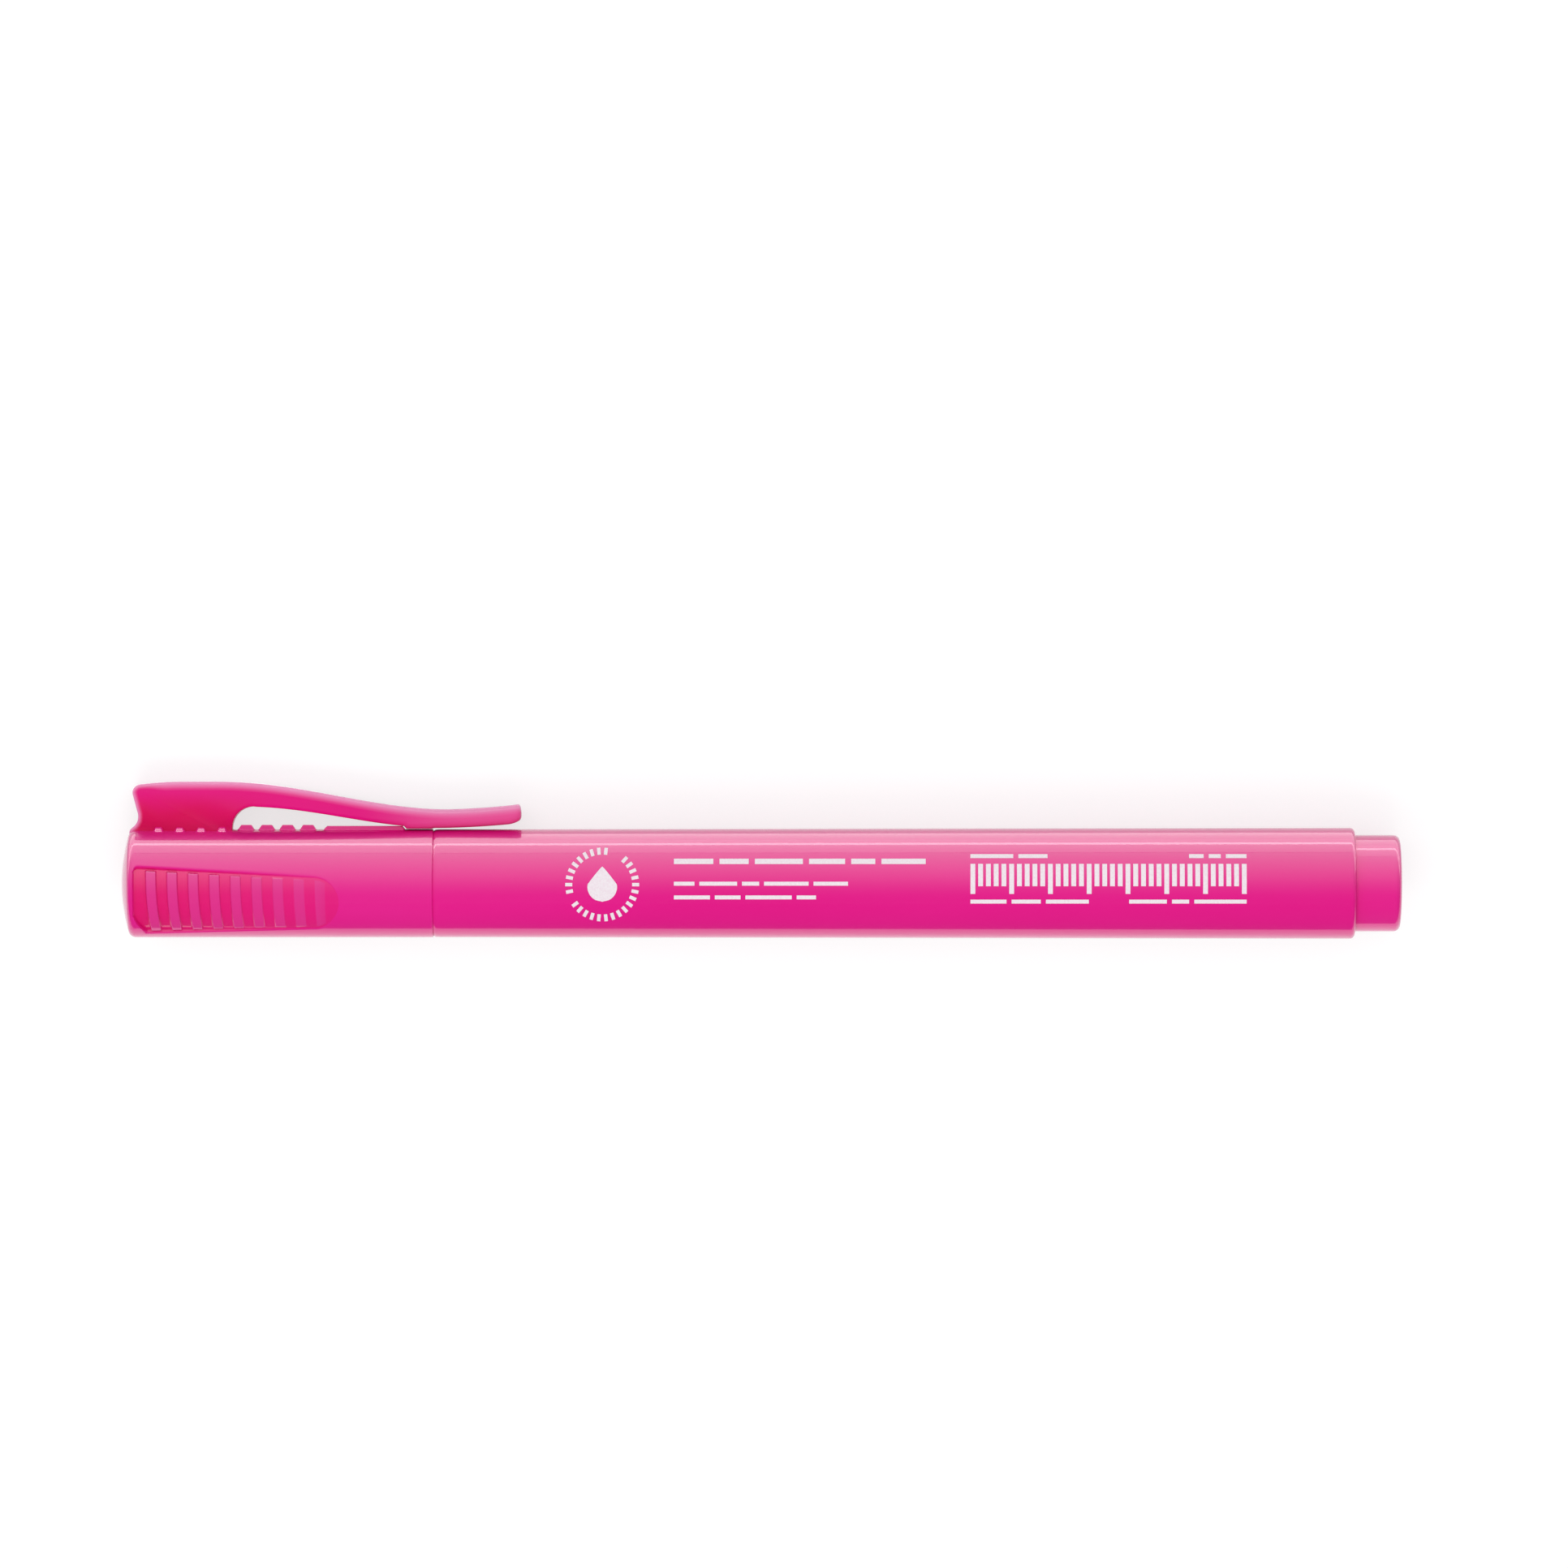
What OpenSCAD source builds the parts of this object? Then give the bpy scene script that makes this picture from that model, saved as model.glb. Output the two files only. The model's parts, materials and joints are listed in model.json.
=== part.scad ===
// A slim round highlighter lying on a table with its cap on.
// It is drawn along its own axis first: x = 0 is the cap's end, +Z is the clip's side.
// lying() then rolls it onto the clip, as it rests on a table.

/* [Barrel] */
// Radius of the barrel behind its front bevel
barrel_front_r = 6.32; // [6:0.01:7.2]
// How much the radius grows from the front to the rear
barrel_taper = 0.19; // [0:0.01:0.4]
// Length of the barrel from its front face to its rear rim
barrel_len = 109.05; // [90:0.05:130]
// Wall of the barrel at its front
barrel_wall = 1.07; // [0.9:0.01:1.4]
// Length of the bevel that the cap's lip covers
bevel_len = 1.8; // [1.5:0.05:2.4]
// Rounding of the rear rim
rim_round = 0.55; // [0.2:0.05:0.8]

/* [Tail plug] */
// Length of the post that stands out of the barrel
tail_len = 5.55; // [4:0.05:8]
// Rounding of the post's rear corner
tail_round = 0.8; // [0.3:0.05:1.5]
// How far the post's end bulges at its middle
tail_dome = 0.3; // [0.1:0.05:0.6]
// Length of the plug inside the barrel
plug_depth = 9; // [6:0.5:14]
// Thickness of the post's end wall
tail_floor = 1.5; // [1:0.1:2.5]

/* [Grip section] */
// Length of the section from its nose to the barrel's front face
grip_len = 17.95; // [15:0.05:22]
// Radius of the nose that the inner cap closes on
nose_r = 3.25; // [3.1:0.01:3.6]
// Rounding of the nose's front edge
nose_round = 0.75; // [0.3:0.05:0.9]
// Straight length of the nose before it flares
nose_len = 1.7; // [1:0.1:3]
// Radius of the hollow curve between the nose and the collar
flare_r = 45.5; // [40:0.5:60]
// Length of the collar in front of the barrel
collar_len = 2.2; // [1.8:0.05:3]
// Length of the section inside the barrel
tenon_len = 12; // [8:0.5:16]

/* [Nib] */
// Height of the nib, seen from its broad side
nib_h = 4.47; // [3.8:0.01:4.6]
// Thickness of the nib
nib_t = 2.5; // [2:0.05:3]
// How far the nib stands out of the nose
nib_out = 7.03; // [5:0.01:8]
// Slant of the chisel tip along the pen
nib_slant = 1.71; // [0.8:0.01:3]
// How deep the nib's rear end dips into the ink reservoir
nib_dip = 3.5; // [2:0.1:6]

/* [Ink reservoir] */
// Wall of the cups that hold the reservoir's two ends
cup_wall = 0.5; // [0.4:0.01:0.9]
// Thickness of the film wrapped round the fibres
film_t = 0.15; // [0.1:0.01:0.3]

/* [Cap] */
// Length of the cap from its end to its mouth
cap_len = 36.5; // [33:0.05:42]
// How far the cap stands proud of the barrel
cap_proud = 0.02; // [0:0.01:0.2]
// Wall of the cap around the collar
cap_wall = 0.64; // [0.55:0.01:0.9]
// Thickness of the cap's end at its middle
cap_floor = 1.5; // [1.2:0.1:2.5]
// Radius of the domed end
dome_r = 20; // [14:0.5:40]
// Rounding between the domed end and the side
dome_edge = 0.9; // [0.4:0.05:1.2]
// How far the cap's lip reaches over the barrel's front bevel
lip_overlap = 1.25; // [1:0.05:1.4]
// Distance from the cap's end to the rear of the thick front wall
thick_len = 15; // [12:0.5:17]

/* [Finger scoops] */
// Depth of a scoop at the cap's end, fading to nothing
scoop_depth = 0.5; // [0.3:0.05:0.6]
// Start of the scoops behind the cap's end
scoop_start = 1.6; // [1.5:0.05:2.5]
// Length of a scoop
scoop_len = 23.6; // [20:0.1:25]
// Radius of a scoop's round rear end
scoop_end_r = 3.04; // [2.5:0.01:3.2]
// Height of a scoop's upper edge above the axis at the front
scoop_top = 2.02; // [1:0.01:2.5]
// Number of ribs in a scoop
scoop_ribs = 9; // [6:1:9]
// Distance from rib to rib, along the sides and under the clip
rib_pitch = 2.44; // [2.2:0.01:2.5]
// Width of a scoop's rib
scoop_rib_w = 1.2; // [0.8:0.05:1.5]
// Distance from the cap's end to the first rib's middle
first_rib = 3.47; // [3:0.01:4]

/* [Ribs under the clip] */
// Number of cross ribs
cross_ribs = 8; // [5:1:8]
// Height of the cross ribs above the cap
cross_rib_h = 0.5; // [0.3:0.05:0.6]
// Width of a cross rib at its top
cross_rib_w = 1.2; // [0.8:0.05:1.4]
// Length of a cross rib across the cap
cross_rib_l = 6.4; // [5:0.1:7]
// Height of the flat land behind the cross ribs
land_h = 0.38; // [0.2:0.01:0.45]

/* [Clip] */
// Height of the clip's hump above the cap
clip_rise = 5.56; // [5:0.01:6.5]
// Width of the clip
clip_w = 4.6; // [3.6:0.1:5.4]
// Rounding of the clip's upper edges
clip_edge = 0.6; // [0.3:0.05:0.8]
// Place of the clip's head behind the cap's end
head_x = 1.33; // [1.2:0.01:2]
// Length of the clip's rigid foot
foot_len = 11.7; // [10:0.1:13]
// Radius of the arch where the arm leaves the foot
arch_r = 1.8; // [1.4:0.05:2]
// Thickness of the arm at its root
arm_t = 2.92; // [2.4:0.01:3.2]
// Thickness of the arm over the cap's mouth
arm_low_t = 2.22; // [1.8:0.01:2.6]
// How far the clip reaches past the cap's mouth
clip_reach = 10.34; // [8:0.01:13]
// How far the arm's tip turns up again
tip_lift = 0.5; // [0.2:0.05:0.8]
// Length of the pad that grips on the cap
pad_len = 3.3; // [2:0.1:4]

/* [Inner cap] */
// Wall of the inner cap
liner_wall = 0.88; // [0.7:0.01:1.1]
// How far the inner cap reaches over the nose
liner_grip = 3.2; // [2.5:0.1:4]

/* [Fits] */
// Radial clearance between parts pushed into each other
push_fit = 0.03; // [0.01:0.01:0.05]
// Radial clearance of the sliding and turning fits
run_fit = 0.05; // [0.02:0.01:0.1]
// Gap between the clip's pad and the cap
clip_gap = 0.1; // [0.08:0.01:0.2]

/* [Hidden] */
$fn = 96;
eps = 0.01;        // cuts run this far past a face
far = 20;          // longer than the pen is thick

barrel_pink = [0.92, 0.36, 0.62];
cap_pink = [0.93, 0.28, 0.60];
clip_pink = [0.88, 0.09, 0.52];
plug_pink = [0.92, 0.42, 0.66];
nib_red = [0.84, 0.27, 0.44];
fibre_pink = [0.97, 0.55, 0.66];
film_white = [0.96, 0.95, 0.96];
liner_white = [0.95, 0.86, 0.90];

// Radii
barrel_rear_r = barrel_front_r + barrel_taper;
bore_r = barrel_front_r - barrel_wall;
tenon_r = bore_r - push_fit;
cap_r = barrel_front_r + cap_proud;
cap_bore_r = cap_r - cap_wall;
tail_r = cap_bore_r - run_fit;
bead_h = 0.09;
collar_r = cap_bore_r - bead_h - run_fit;
face_r = collar_r + 0.02;
wrap_r = tenon_r - cup_wall - push_fit;
fibre_r = wrap_r - film_t - push_fit;
liner_bore_r = nose_r + run_fit + 0.02;
liner_r = liner_bore_r + liner_wall;
socket_r = liner_r + run_fit;

// Places along the pen
mouth_x = cap_len;
face_x = mouth_x - lip_overlap;
rear_x = face_x + barrel_len;
total_len = rear_x + tail_len;
nose_x = face_x - grip_len;
flare_x = nose_x + nose_len;
collar_x = face_x - collar_len;
tip_x = nose_x - nib_out;
cup_x = collar_x + 0.6;
cup_end_x = rear_x - 2.2;
liner_x = cap_floor + push_fit;
liner_end_x = nose_x + liner_grip;

// The lip's inner cone runs beside the barrel's bevel
bevel_slope = (barrel_front_r - face_r) / bevel_len;
lip_r = face_r + bevel_slope * lip_overlap + run_fit;
lip_x = mouth_x - (lip_r - cap_bore_r) / bevel_slope;

// The clip, in the plane of its side view
clip_h = cap_r + clip_rise;
half_w = clip_w / 2;
hump_x = head_x + 6;
fall_x = head_x + 9.9;
root_x = head_x + foot_len + arch_r - 0.8;
root_gap = 0.05;
arch_x = head_x + foot_len + arch_r;
low_x = mouth_x + 2;
clip_end_x = mouth_x + clip_reach;
tip_r = 1;
pad_h = 0.5;
arm_low_z = cap_r + clip_gap + 0.02;
head_r = 0.82;
head_lean = 0.7;
cross_rib_slope = 0.45;

// How it lies: the rounded edge of the hump and the barrel's rear touch the table
edge_y = half_w - clip_edge;
edge_z = clip_h - clip_edge;
roll = asin((barrel_rear_r - clip_edge) / norm([edge_y, edge_z])) - atan2(edge_y, edge_z);
reach_y = edge_y * sin(roll) + edge_z * cos(roll) + clip_edge;
axis_y = (barrel_rear_r - reach_y) / 2;

// A smooth fall from 0 to 1 between a and b
function fall(x, a, b) = (1 - cos(180 * min(1, max(0, (x - a) / (b - a))))) / 2;

// Upper edge of the clip: rise, hump, fall towards the mouth and an upturned tip
function clip_top(x) =
    clip_h - 0.012 * pow(max(0, hump_x - x), 2)
    - fall(x, fall_x, low_x + 0.5) * (clip_h - arm_low_z - arm_low_t)
    + 0.9 * tip_lift * pow(max(0, x - low_x - 0.5) / (clip_end_x - low_x), 2);

// Lower edge of the arm, with the arch at its root
function arm_bottom(x) =
    x < arch_x
    ? clip_h - arm_t - arch_r + sqrt(pow(arch_r, 2) - pow(arch_x - x, 2))
    : clip_h - arm_t - fall(x, root_x, low_x - 0.5) * (clip_h - arm_t - arm_low_z)
      + tip_lift * pow(max(0, x - low_x + 0.5) / (clip_end_x - low_x), 2);

// Share of full size left at x, close to a round end of length len
function round_end(x, end, len) =
    x < end - len ? 1 : sqrt(max(0.01, 1 - pow((x - end + len) / len, 2)));

// Lays the pen on the table, with the origin under the middle of its box
module lying()
    translate([-total_len / 2, axis_y, barrel_rear_r]) rotate([-(90 + roll), 0, 0]) children();

// Turns a half profile, drawn as [radius, place along the pen], about the pen's axis
module lathe() rotate([0, 90, 0]) rotate_extrude() children();

// Extrudes a side view, drawn as [place along the pen, height], to width w
module side_view(w) rotate([90, 0, 0]) linear_extrude(w, center = true) children();

// A plain step of a half profile
module step(r, from, to) translate([0, from]) square([r, to - from]);

// A step with its rear corner rounded
module rounded_step(r, from, to, edge) {
    step(r - edge, from, to);
    step(r, from, to - edge);
    translate([r - edge, to - edge]) circle(edge);
}

// The nib's section, or with grow the slot that takes it
module nib_section(grow) {
    edge = 0.5;
    h = nib_h + 2 * grow;
    t = nib_t + 2 * grow;
    square([h - 2 * edge, t], center = true);
    square([h, t - 2 * edge], center = true);
    for (sy = [-1, 1], sz = [-1, 1])
        translate([sz * (h / 2 - edge), sy * (t / 2 - edge)]) circle(edge);
}

module nib_bar(grow, from, to)
    translate([from, 0, 0]) rotate([0, 90, 0]) linear_extrude(to - from) nib_section(grow);

module barrel() color(barrel_pink) lying() lathe() difference() {
    union() {
        polygon([[0, face_x], [face_r, face_x], [barrel_front_r, face_x + bevel_len],
                 [barrel_rear_r, rear_x - rim_round], [0, rear_x - rim_round]]);
        rounded_step(barrel_rear_r, rear_x - 2 * rim_round, rear_x, rim_round);
    }
    step(bore_r, face_x - eps, rear_x + eps);
}

// Outside of the section: nose, hollow flare, groove and collar
module section_profile() {
    difference() {
        step(collar_r, nose_x + nose_round, collar_x);
        translate([nose_r + flare_r, flare_x]) circle(flare_r, $fn = 360);
        translate([nose_r, nose_x]) square([far, nose_len]);
    }
    mirror([0, 1]) rounded_step(nose_r, -flare_x, -nose_x, nose_round);
    step(collar_r, collar_x, face_x);
    step(tenon_r, face_x - eps, face_x + tenon_len);
}

module grip_section() color(barrel_pink) lying() difference() {
    lathe() difference() {
        section_profile();
        step(wrap_r + push_fit, cup_x, face_x + tenon_len + eps);
    }
    nib_bar(push_fit, nose_x - eps, cup_x + eps);
}

module nib() color(nib_red) lying() difference() {
    nib_bar(0, tip_x, cup_x + nib_dip);
    side_view(far) polygon([[tip_x - 1, nib_h], [tip_x, nib_h / 2], [tip_x + nib_slant, -nib_h / 2],
                            [tip_x + nib_slant, -nib_h], [tip_x - 1, -nib_h]]);
}

module ink_reservoir() color(fibre_pink) lying() difference() {
    lathe() step(fibre_r, cup_x + push_fit, cup_end_x - push_fit);
    nib_bar(push_fit, cup_x - eps, cup_x + nib_dip + push_fit);
}

module reservoir_wrap() color(film_white) lying() lathe() difference() {
    step(wrap_r, cup_x + push_fit, cup_end_x - push_fit);
    step(wrap_r - film_t, cup_x - eps, cup_end_x + eps);
}

// The post's end: a shallow dome with a rounded corner
module tail_profile() {
    intersection() {
        rounded_step(tail_r, rear_x, total_len, tail_round);
        bulge_r = (pow(tail_r, 2) + pow(tail_dome, 2)) / (2 * tail_dome);
        translate([0, total_len - bulge_r]) circle(bulge_r, $fn = 360);
    }
}

module tail_plug() color(plug_pink) lying() lathe() difference() {
    union() {
        tail_profile();
        step(tenon_r, rear_x - plug_depth, rear_x + eps);
    }
    step(wrap_r + push_fit, rear_x - plug_depth - eps, cup_end_x);
    step(wrap_r - 0.6, cup_end_x - eps, total_len - tail_floor);
}

// A closed tube that seals on the nose, flared at its mouth
module inner_cap() color(liner_white) lying() lathe() difference() {
    step(liner_r, liner_x, liner_end_x + 1);
    step(liner_bore_r, liner_x + 1, liner_end_x + eps);
    polygon([[0, liner_end_x], [liner_bore_r, liner_end_x],
             [liner_bore_r + 0.4, liner_end_x + 1 + eps], [0, liner_end_x + 1 + eps]]);
}

// Outside of the cap: a dome whose edge runs tangent into the side
module cap_profile() {
    in_r = cap_r - dome_edge;
    edge_x = dome_r - sqrt(pow(dome_r - dome_edge, 2) - pow(in_r, 2));
    meet = dome_r / (dome_r - dome_edge);
    meet_r = in_r * meet;
    meet_x = dome_r - (dome_r - edge_x) * meet;
    intersection() {
        translate([0, dome_r]) circle(dome_r, $fn = 360);
        polygon([[0, -1], [meet_r, -1], [meet_r, meet_x], [in_r, edge_x], [in_r, 2 * edge_x],
                 [0, 2 * edge_x]]);
    }
    translate([in_r, edge_x]) circle(dome_edge);
    step(cap_r, edge_x, mouth_x);
}

// Inside of the cap: socket of the inner cap, wide bore with its bead, and the lip's cone
module cap_hollow() {
    bead_x = face_x - collar_len / 2;
    step(socket_r, cap_floor, liner_end_x + 1);
    polygon([[0, thick_len], [socket_r, thick_len], [cap_bore_r, liner_end_x + 1],
             [cap_bore_r, bead_x - 0.4], [cap_bore_r - bead_h, bead_x - 0.2],
             [cap_bore_r - bead_h, bead_x + 0.2], [cap_bore_r, bead_x + 0.4],
             [cap_bore_r, lip_x], [lip_r, mouth_x], [lip_r, mouth_x + 1], [0, mouth_x + 1]]);
}

// Side view of a scoop, lowered by drop: a long shape with a round rear end
module scoop_outline(drop) {
    end_x = scoop_start + scoop_len - scoop_end_r;
    mid_z = scoop_top - 1.2 - scoop_end_r;
    polygon([[scoop_start, scoop_top - drop], [end_x, mid_z + scoop_end_r - drop],
             [end_x, mid_z - scoop_end_r + drop], [scoop_start + 0.9, -0.92 * cap_r + drop],
             [scoop_start, -4 + drop]]);
    translate([end_x, mid_z]) circle(scoop_end_r - drop);
}

// What is cut away for both scoops, leaving the ribs
module scoops() difference() {
    side_view(far) scoop_outline(0);
    lathe() polygon([[0, 0], [cap_r - scoop_depth, 0], [cap_r - scoop_depth, scoop_start],
                     [cap_r + eps, scoop_start + scoop_len], [0, scoop_start + scoop_len]]);
    intersection() {
        side_view(far) scoop_outline(0.4);
        lathe() for (i = [0 : scoop_ribs - 1])
            step(cap_r - 0.08, first_rib + i * rib_pitch - scoop_rib_w / 2,
                 first_rib + i * rib_pitch + scoop_rib_w / 2);
    }
}

// Cross ribs under the clip, half a pitch off the scoops' ribs
module cross_rib_row() for (i = [0 : cross_ribs - 1])
    translate([first_rib + (i + 0.5) * rib_pitch, 0, 0]) side_view(cross_rib_l)
        polygon([[-cross_rib_w / 2 - cross_rib_slope, 4], [-cross_rib_w / 2 - cross_rib_slope, cap_r - 0.2],
                 [-cross_rib_w / 2, cap_r + cross_rib_h], [cross_rib_w / 2, cap_r + cross_rib_h],
                 [cross_rib_w / 2 + cross_rib_slope, cap_r - 0.2], [cross_rib_w / 2 + cross_rib_slope, 4]]);

// The flat land between the last cross rib and the pad
module land() {
    from = first_rib + cross_ribs * rib_pitch + 0.7;
    side_view(clip_w) polygon([[from, 4], [from, cap_r], [from + 0.4, cap_r + land_h],
                               [mouth_x - pad_len - 0.3, cap_r + land_h],
                               [mouth_x - pad_len, cap_r], [mouth_x - pad_len, 4]]);
}

// The clip's rigid foot on the cap, up to the root of the arm
module clip_foot() intersection() {
    side_view(clip_w) difference() {
        union() {
            polygon(concat([[head_x + head_lean, 4], [head_x + head_lean, cap_r + 1.1],
                            [head_x, clip_h - 1.25]],
                           [for (x = [head_x + head_r : 1.2 : root_x]) [x, clip_top(x)]],
                           [[root_x, clip_top(root_x)], [root_x, 4]]));
            translate([head_x + head_r, clip_h - 1.25]) circle(head_r);
            polygon([[dome_edge, cap_r - 1], [dome_edge, cap_r - 0.2], [head_x + 0.2, cap_r + 0.35],
                     [head_x + head_lean + eps, cap_r + 1.1], [head_x + head_lean + eps, cap_r - 1]]);
        }
        translate([arch_x, clip_h - arm_t - arch_r]) circle(arch_r);
        translate([arch_x - arch_r, 0]) square([far, clip_h - arm_t - arch_r]);
    }
    translate([0, 0, clip_h]) rotate([0, 90, 0]) linear_extrude(far) {
        translate([0, -edge_y]) square([far, 2 * edge_y]);
        translate([clip_edge, -half_w]) square([far, clip_w]);
        for (sy = [-1, 1]) translate([clip_edge, sy * edge_y]) circle(clip_edge);
    }
}

module cap_shell() color(cap_pink) lying() difference() {
    union() {
        lathe() cap_profile();
        clip_foot();
        cross_rib_row();
        land();
    }
    lathe() cap_hollow();
    scoops();
}

// One ring of the arm at x: a rectangle with rounded upper and eased lower corners
function arm_ring(x) =
    let (tip = round_end(x, clip_end_x, tip_r),
         w = half_w * round_end(x, clip_end_x, half_w) * 0.7 + half_w * 0.3 * tip,
         mid = (clip_top(x) + arm_bottom(x)) / 2,
         h = (clip_top(x) - arm_bottom(x)) / 2 * tip,
         e = clip_edge * tip)
    [for (c = [[1, 1], [-1, 1], [-1, -1], [1, -1]], k = [0 : 3])
        let (edge = c[1] > 0 ? e : e / 2,
             turn = (c[0] * c[1] > 0 ? k : 3 - k) * 30)
        [x, c[0] * (w - edge + edge * cos(turn)), mid + c[1] * (h - edge + edge * sin(turn))]];

// Joins a list of rings of equal size into one solid
module sweep(rings) {
    m = len(rings[0]);
    n = len(rings);
    polyhedron([for (r = rings) each r],
               concat([[for (j = [0 : m - 1]) j]],
                      [for (i = [0 : n - 2], j = [0 : m - 1])
                          [i * m + j, (i + 1) * m + j, (i + 1) * m + (j + 1) % m, i * m + (j + 1) % m]],
                      [[for (j = [m - 1 : -1 : 0]) (n - 1) * m + j]]));
}

module clip_arm() color(clip_pink) lying() {
    start = root_x + root_gap;
    steps = 26;
    sweep(concat([for (i = [0 : 2]) arm_ring(start + i * (arch_x - start) / 3)],
                 [for (i = [0 : steps]) arm_ring(arch_x + i * (clip_end_x - tip_r - arch_x) / steps)],
                 [for (a = [30 : 20 : 90]) arm_ring(clip_end_x - tip_r + tip_r * sin(a))]));
    translate([mouth_x - pad_len, -half_w + clip_edge / 2, cap_r + clip_gap])
        cube([pad_len, clip_w - clip_edge, pad_h]);
}

barrel();
grip_section();
nib();
ink_reservoir();
reservoir_wrap();
tail_plug();
inner_cap();
cap_shell();
clip_arm();
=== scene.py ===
"""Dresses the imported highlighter: moulded shells, nib, clip and print, on a pale table.

Sizes are in millimetres in the pen's own axes (x from the cap's end along the pen, up on the clip's side)
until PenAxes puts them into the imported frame, which is in metres.
"""

import json
import logging
import math
from dataclasses import dataclass, field
from enum import Enum
from typing import Iterable, Sequence

import bpy
from mathutils import Matrix, Vector
from mathutils.bvhtree import BVHTree


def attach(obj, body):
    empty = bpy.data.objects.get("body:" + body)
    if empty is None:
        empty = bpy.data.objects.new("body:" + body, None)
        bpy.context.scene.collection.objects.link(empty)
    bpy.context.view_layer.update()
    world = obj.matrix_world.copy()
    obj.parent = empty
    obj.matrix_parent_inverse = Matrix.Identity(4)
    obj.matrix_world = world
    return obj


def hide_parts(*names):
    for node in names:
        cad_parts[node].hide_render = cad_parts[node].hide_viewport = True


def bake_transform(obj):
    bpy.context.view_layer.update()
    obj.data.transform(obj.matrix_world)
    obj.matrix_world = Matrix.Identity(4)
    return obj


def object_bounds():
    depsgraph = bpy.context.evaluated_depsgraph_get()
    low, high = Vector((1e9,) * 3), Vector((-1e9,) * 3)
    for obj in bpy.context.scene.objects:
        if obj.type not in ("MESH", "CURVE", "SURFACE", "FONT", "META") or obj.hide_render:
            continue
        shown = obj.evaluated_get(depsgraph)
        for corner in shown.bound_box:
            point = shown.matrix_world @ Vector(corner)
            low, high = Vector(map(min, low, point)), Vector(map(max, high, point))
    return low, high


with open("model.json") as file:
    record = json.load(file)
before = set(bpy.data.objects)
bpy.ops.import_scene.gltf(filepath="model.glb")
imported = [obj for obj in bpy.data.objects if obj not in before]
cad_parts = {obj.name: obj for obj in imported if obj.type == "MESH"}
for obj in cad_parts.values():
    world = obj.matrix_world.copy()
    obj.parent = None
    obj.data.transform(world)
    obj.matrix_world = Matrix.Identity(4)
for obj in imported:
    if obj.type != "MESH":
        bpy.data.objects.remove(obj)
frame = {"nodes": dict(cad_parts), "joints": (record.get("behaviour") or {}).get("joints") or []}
CAD_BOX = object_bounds()

log = logging.getLogger("highlighter")

MM = 0.001
ALONG = Vector((1.0, 0.0, 0.0))

Colour = tuple[float, float, float]
Place = tuple[float, float, float]
Point = tuple[float, float]
Profile = list[Point]
Value = bpy.types.NodeSocket | Colour | float


def srgb(red: int, green: int, blue: int) -> Colour:
    """Turn a display colour into scene-linear values.

    Args:
        red: Red from 0 to 255.
        green: Green from 0 to 255.
        blue: Blue from 0 to 255.

    Returns:
        The linear colour.
    """
    def linear(value: int) -> float:
        """Undo the display curve of one channel."""
        share = value / 255
        return share / 12.92 if share <= 0.04045 else ((share + 0.055) / 1.055) ** 2.4

    return linear(red), linear(green), linear(blue)


def smooth(value: float, low: float, high: float) -> float:
    """Rise smoothly from 0 at low to 1 at high, or fall where high is below low.

    Args:
        value: Where to read the step.
        low: Where the step is 0.
        high: Where the step is 1.

    Returns:
        A share from 0 to 1.
    """
    share = min(1.0, max(0.0, (value - low) / (high - low)))
    return share * share * (3 - 2 * share)


def fall(value: float, start: float, end: float) -> float:
    """Follow half a cosine wave from 0 at start to 1 at end.

    Args:
        value: Where to read the wave.
        start: Where it begins.
        end: Where it ends.

    Returns:
        A share from 0 to 1.
    """
    share = min(1.0, max(0.0, (value - start) / (end - start)))
    return (1 - math.cos(math.pi * share)) / 2


def spread(start: float, end: float, count: int) -> list[float]:
    """Even places from start to end, both included.

    Args:
        start: The first place.
        end: The last place.
        count: How many steps lie between them.

    Returns:
        The places.
    """
    return [start + (end - start) * i / count for i in range(count + 1)]


def arc(centre: Point, radius: float, start: float, end: float, count: int) -> Profile:
    """Points of an arc in a half profile.

    Args:
        centre: Middle of the arc, as radius from the axis and place along the pen.
        radius: Radius of the arc.
        start: First angle in degrees; 0 points away from the axis, 90 towards the tail.
        end: Last angle in degrees.
        count: Number of steps.

    Returns:
        Points as radius and place along the pen.
    """
    return [(centre[0] + radius * math.cos(math.radians(a)), centre[1] + radius * math.sin(math.radians(a)))
            for a in spread(start, end, count)]


class Body(Enum):
    """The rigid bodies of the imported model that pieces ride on."""

    PEN = "pen"
    LINER = "cap_liner"
    CAP = "cap"
    CLIP = "clip"


class Slot(Enum):
    """The record's material slots."""

    BARREL = "barrel_plastic"
    SECTION = "section_plastic"
    PLUG = "plug_plastic"
    CAP = "cap_plastic"
    LINER = "liner_plastic"
    NIB = "nib_fibre"
    RESERVOIR = "reservoir_fibre"
    FILM = "wrap_film"
    PRINT = "print_ink"


# ---------------------------------------------------------------- finishes


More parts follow.
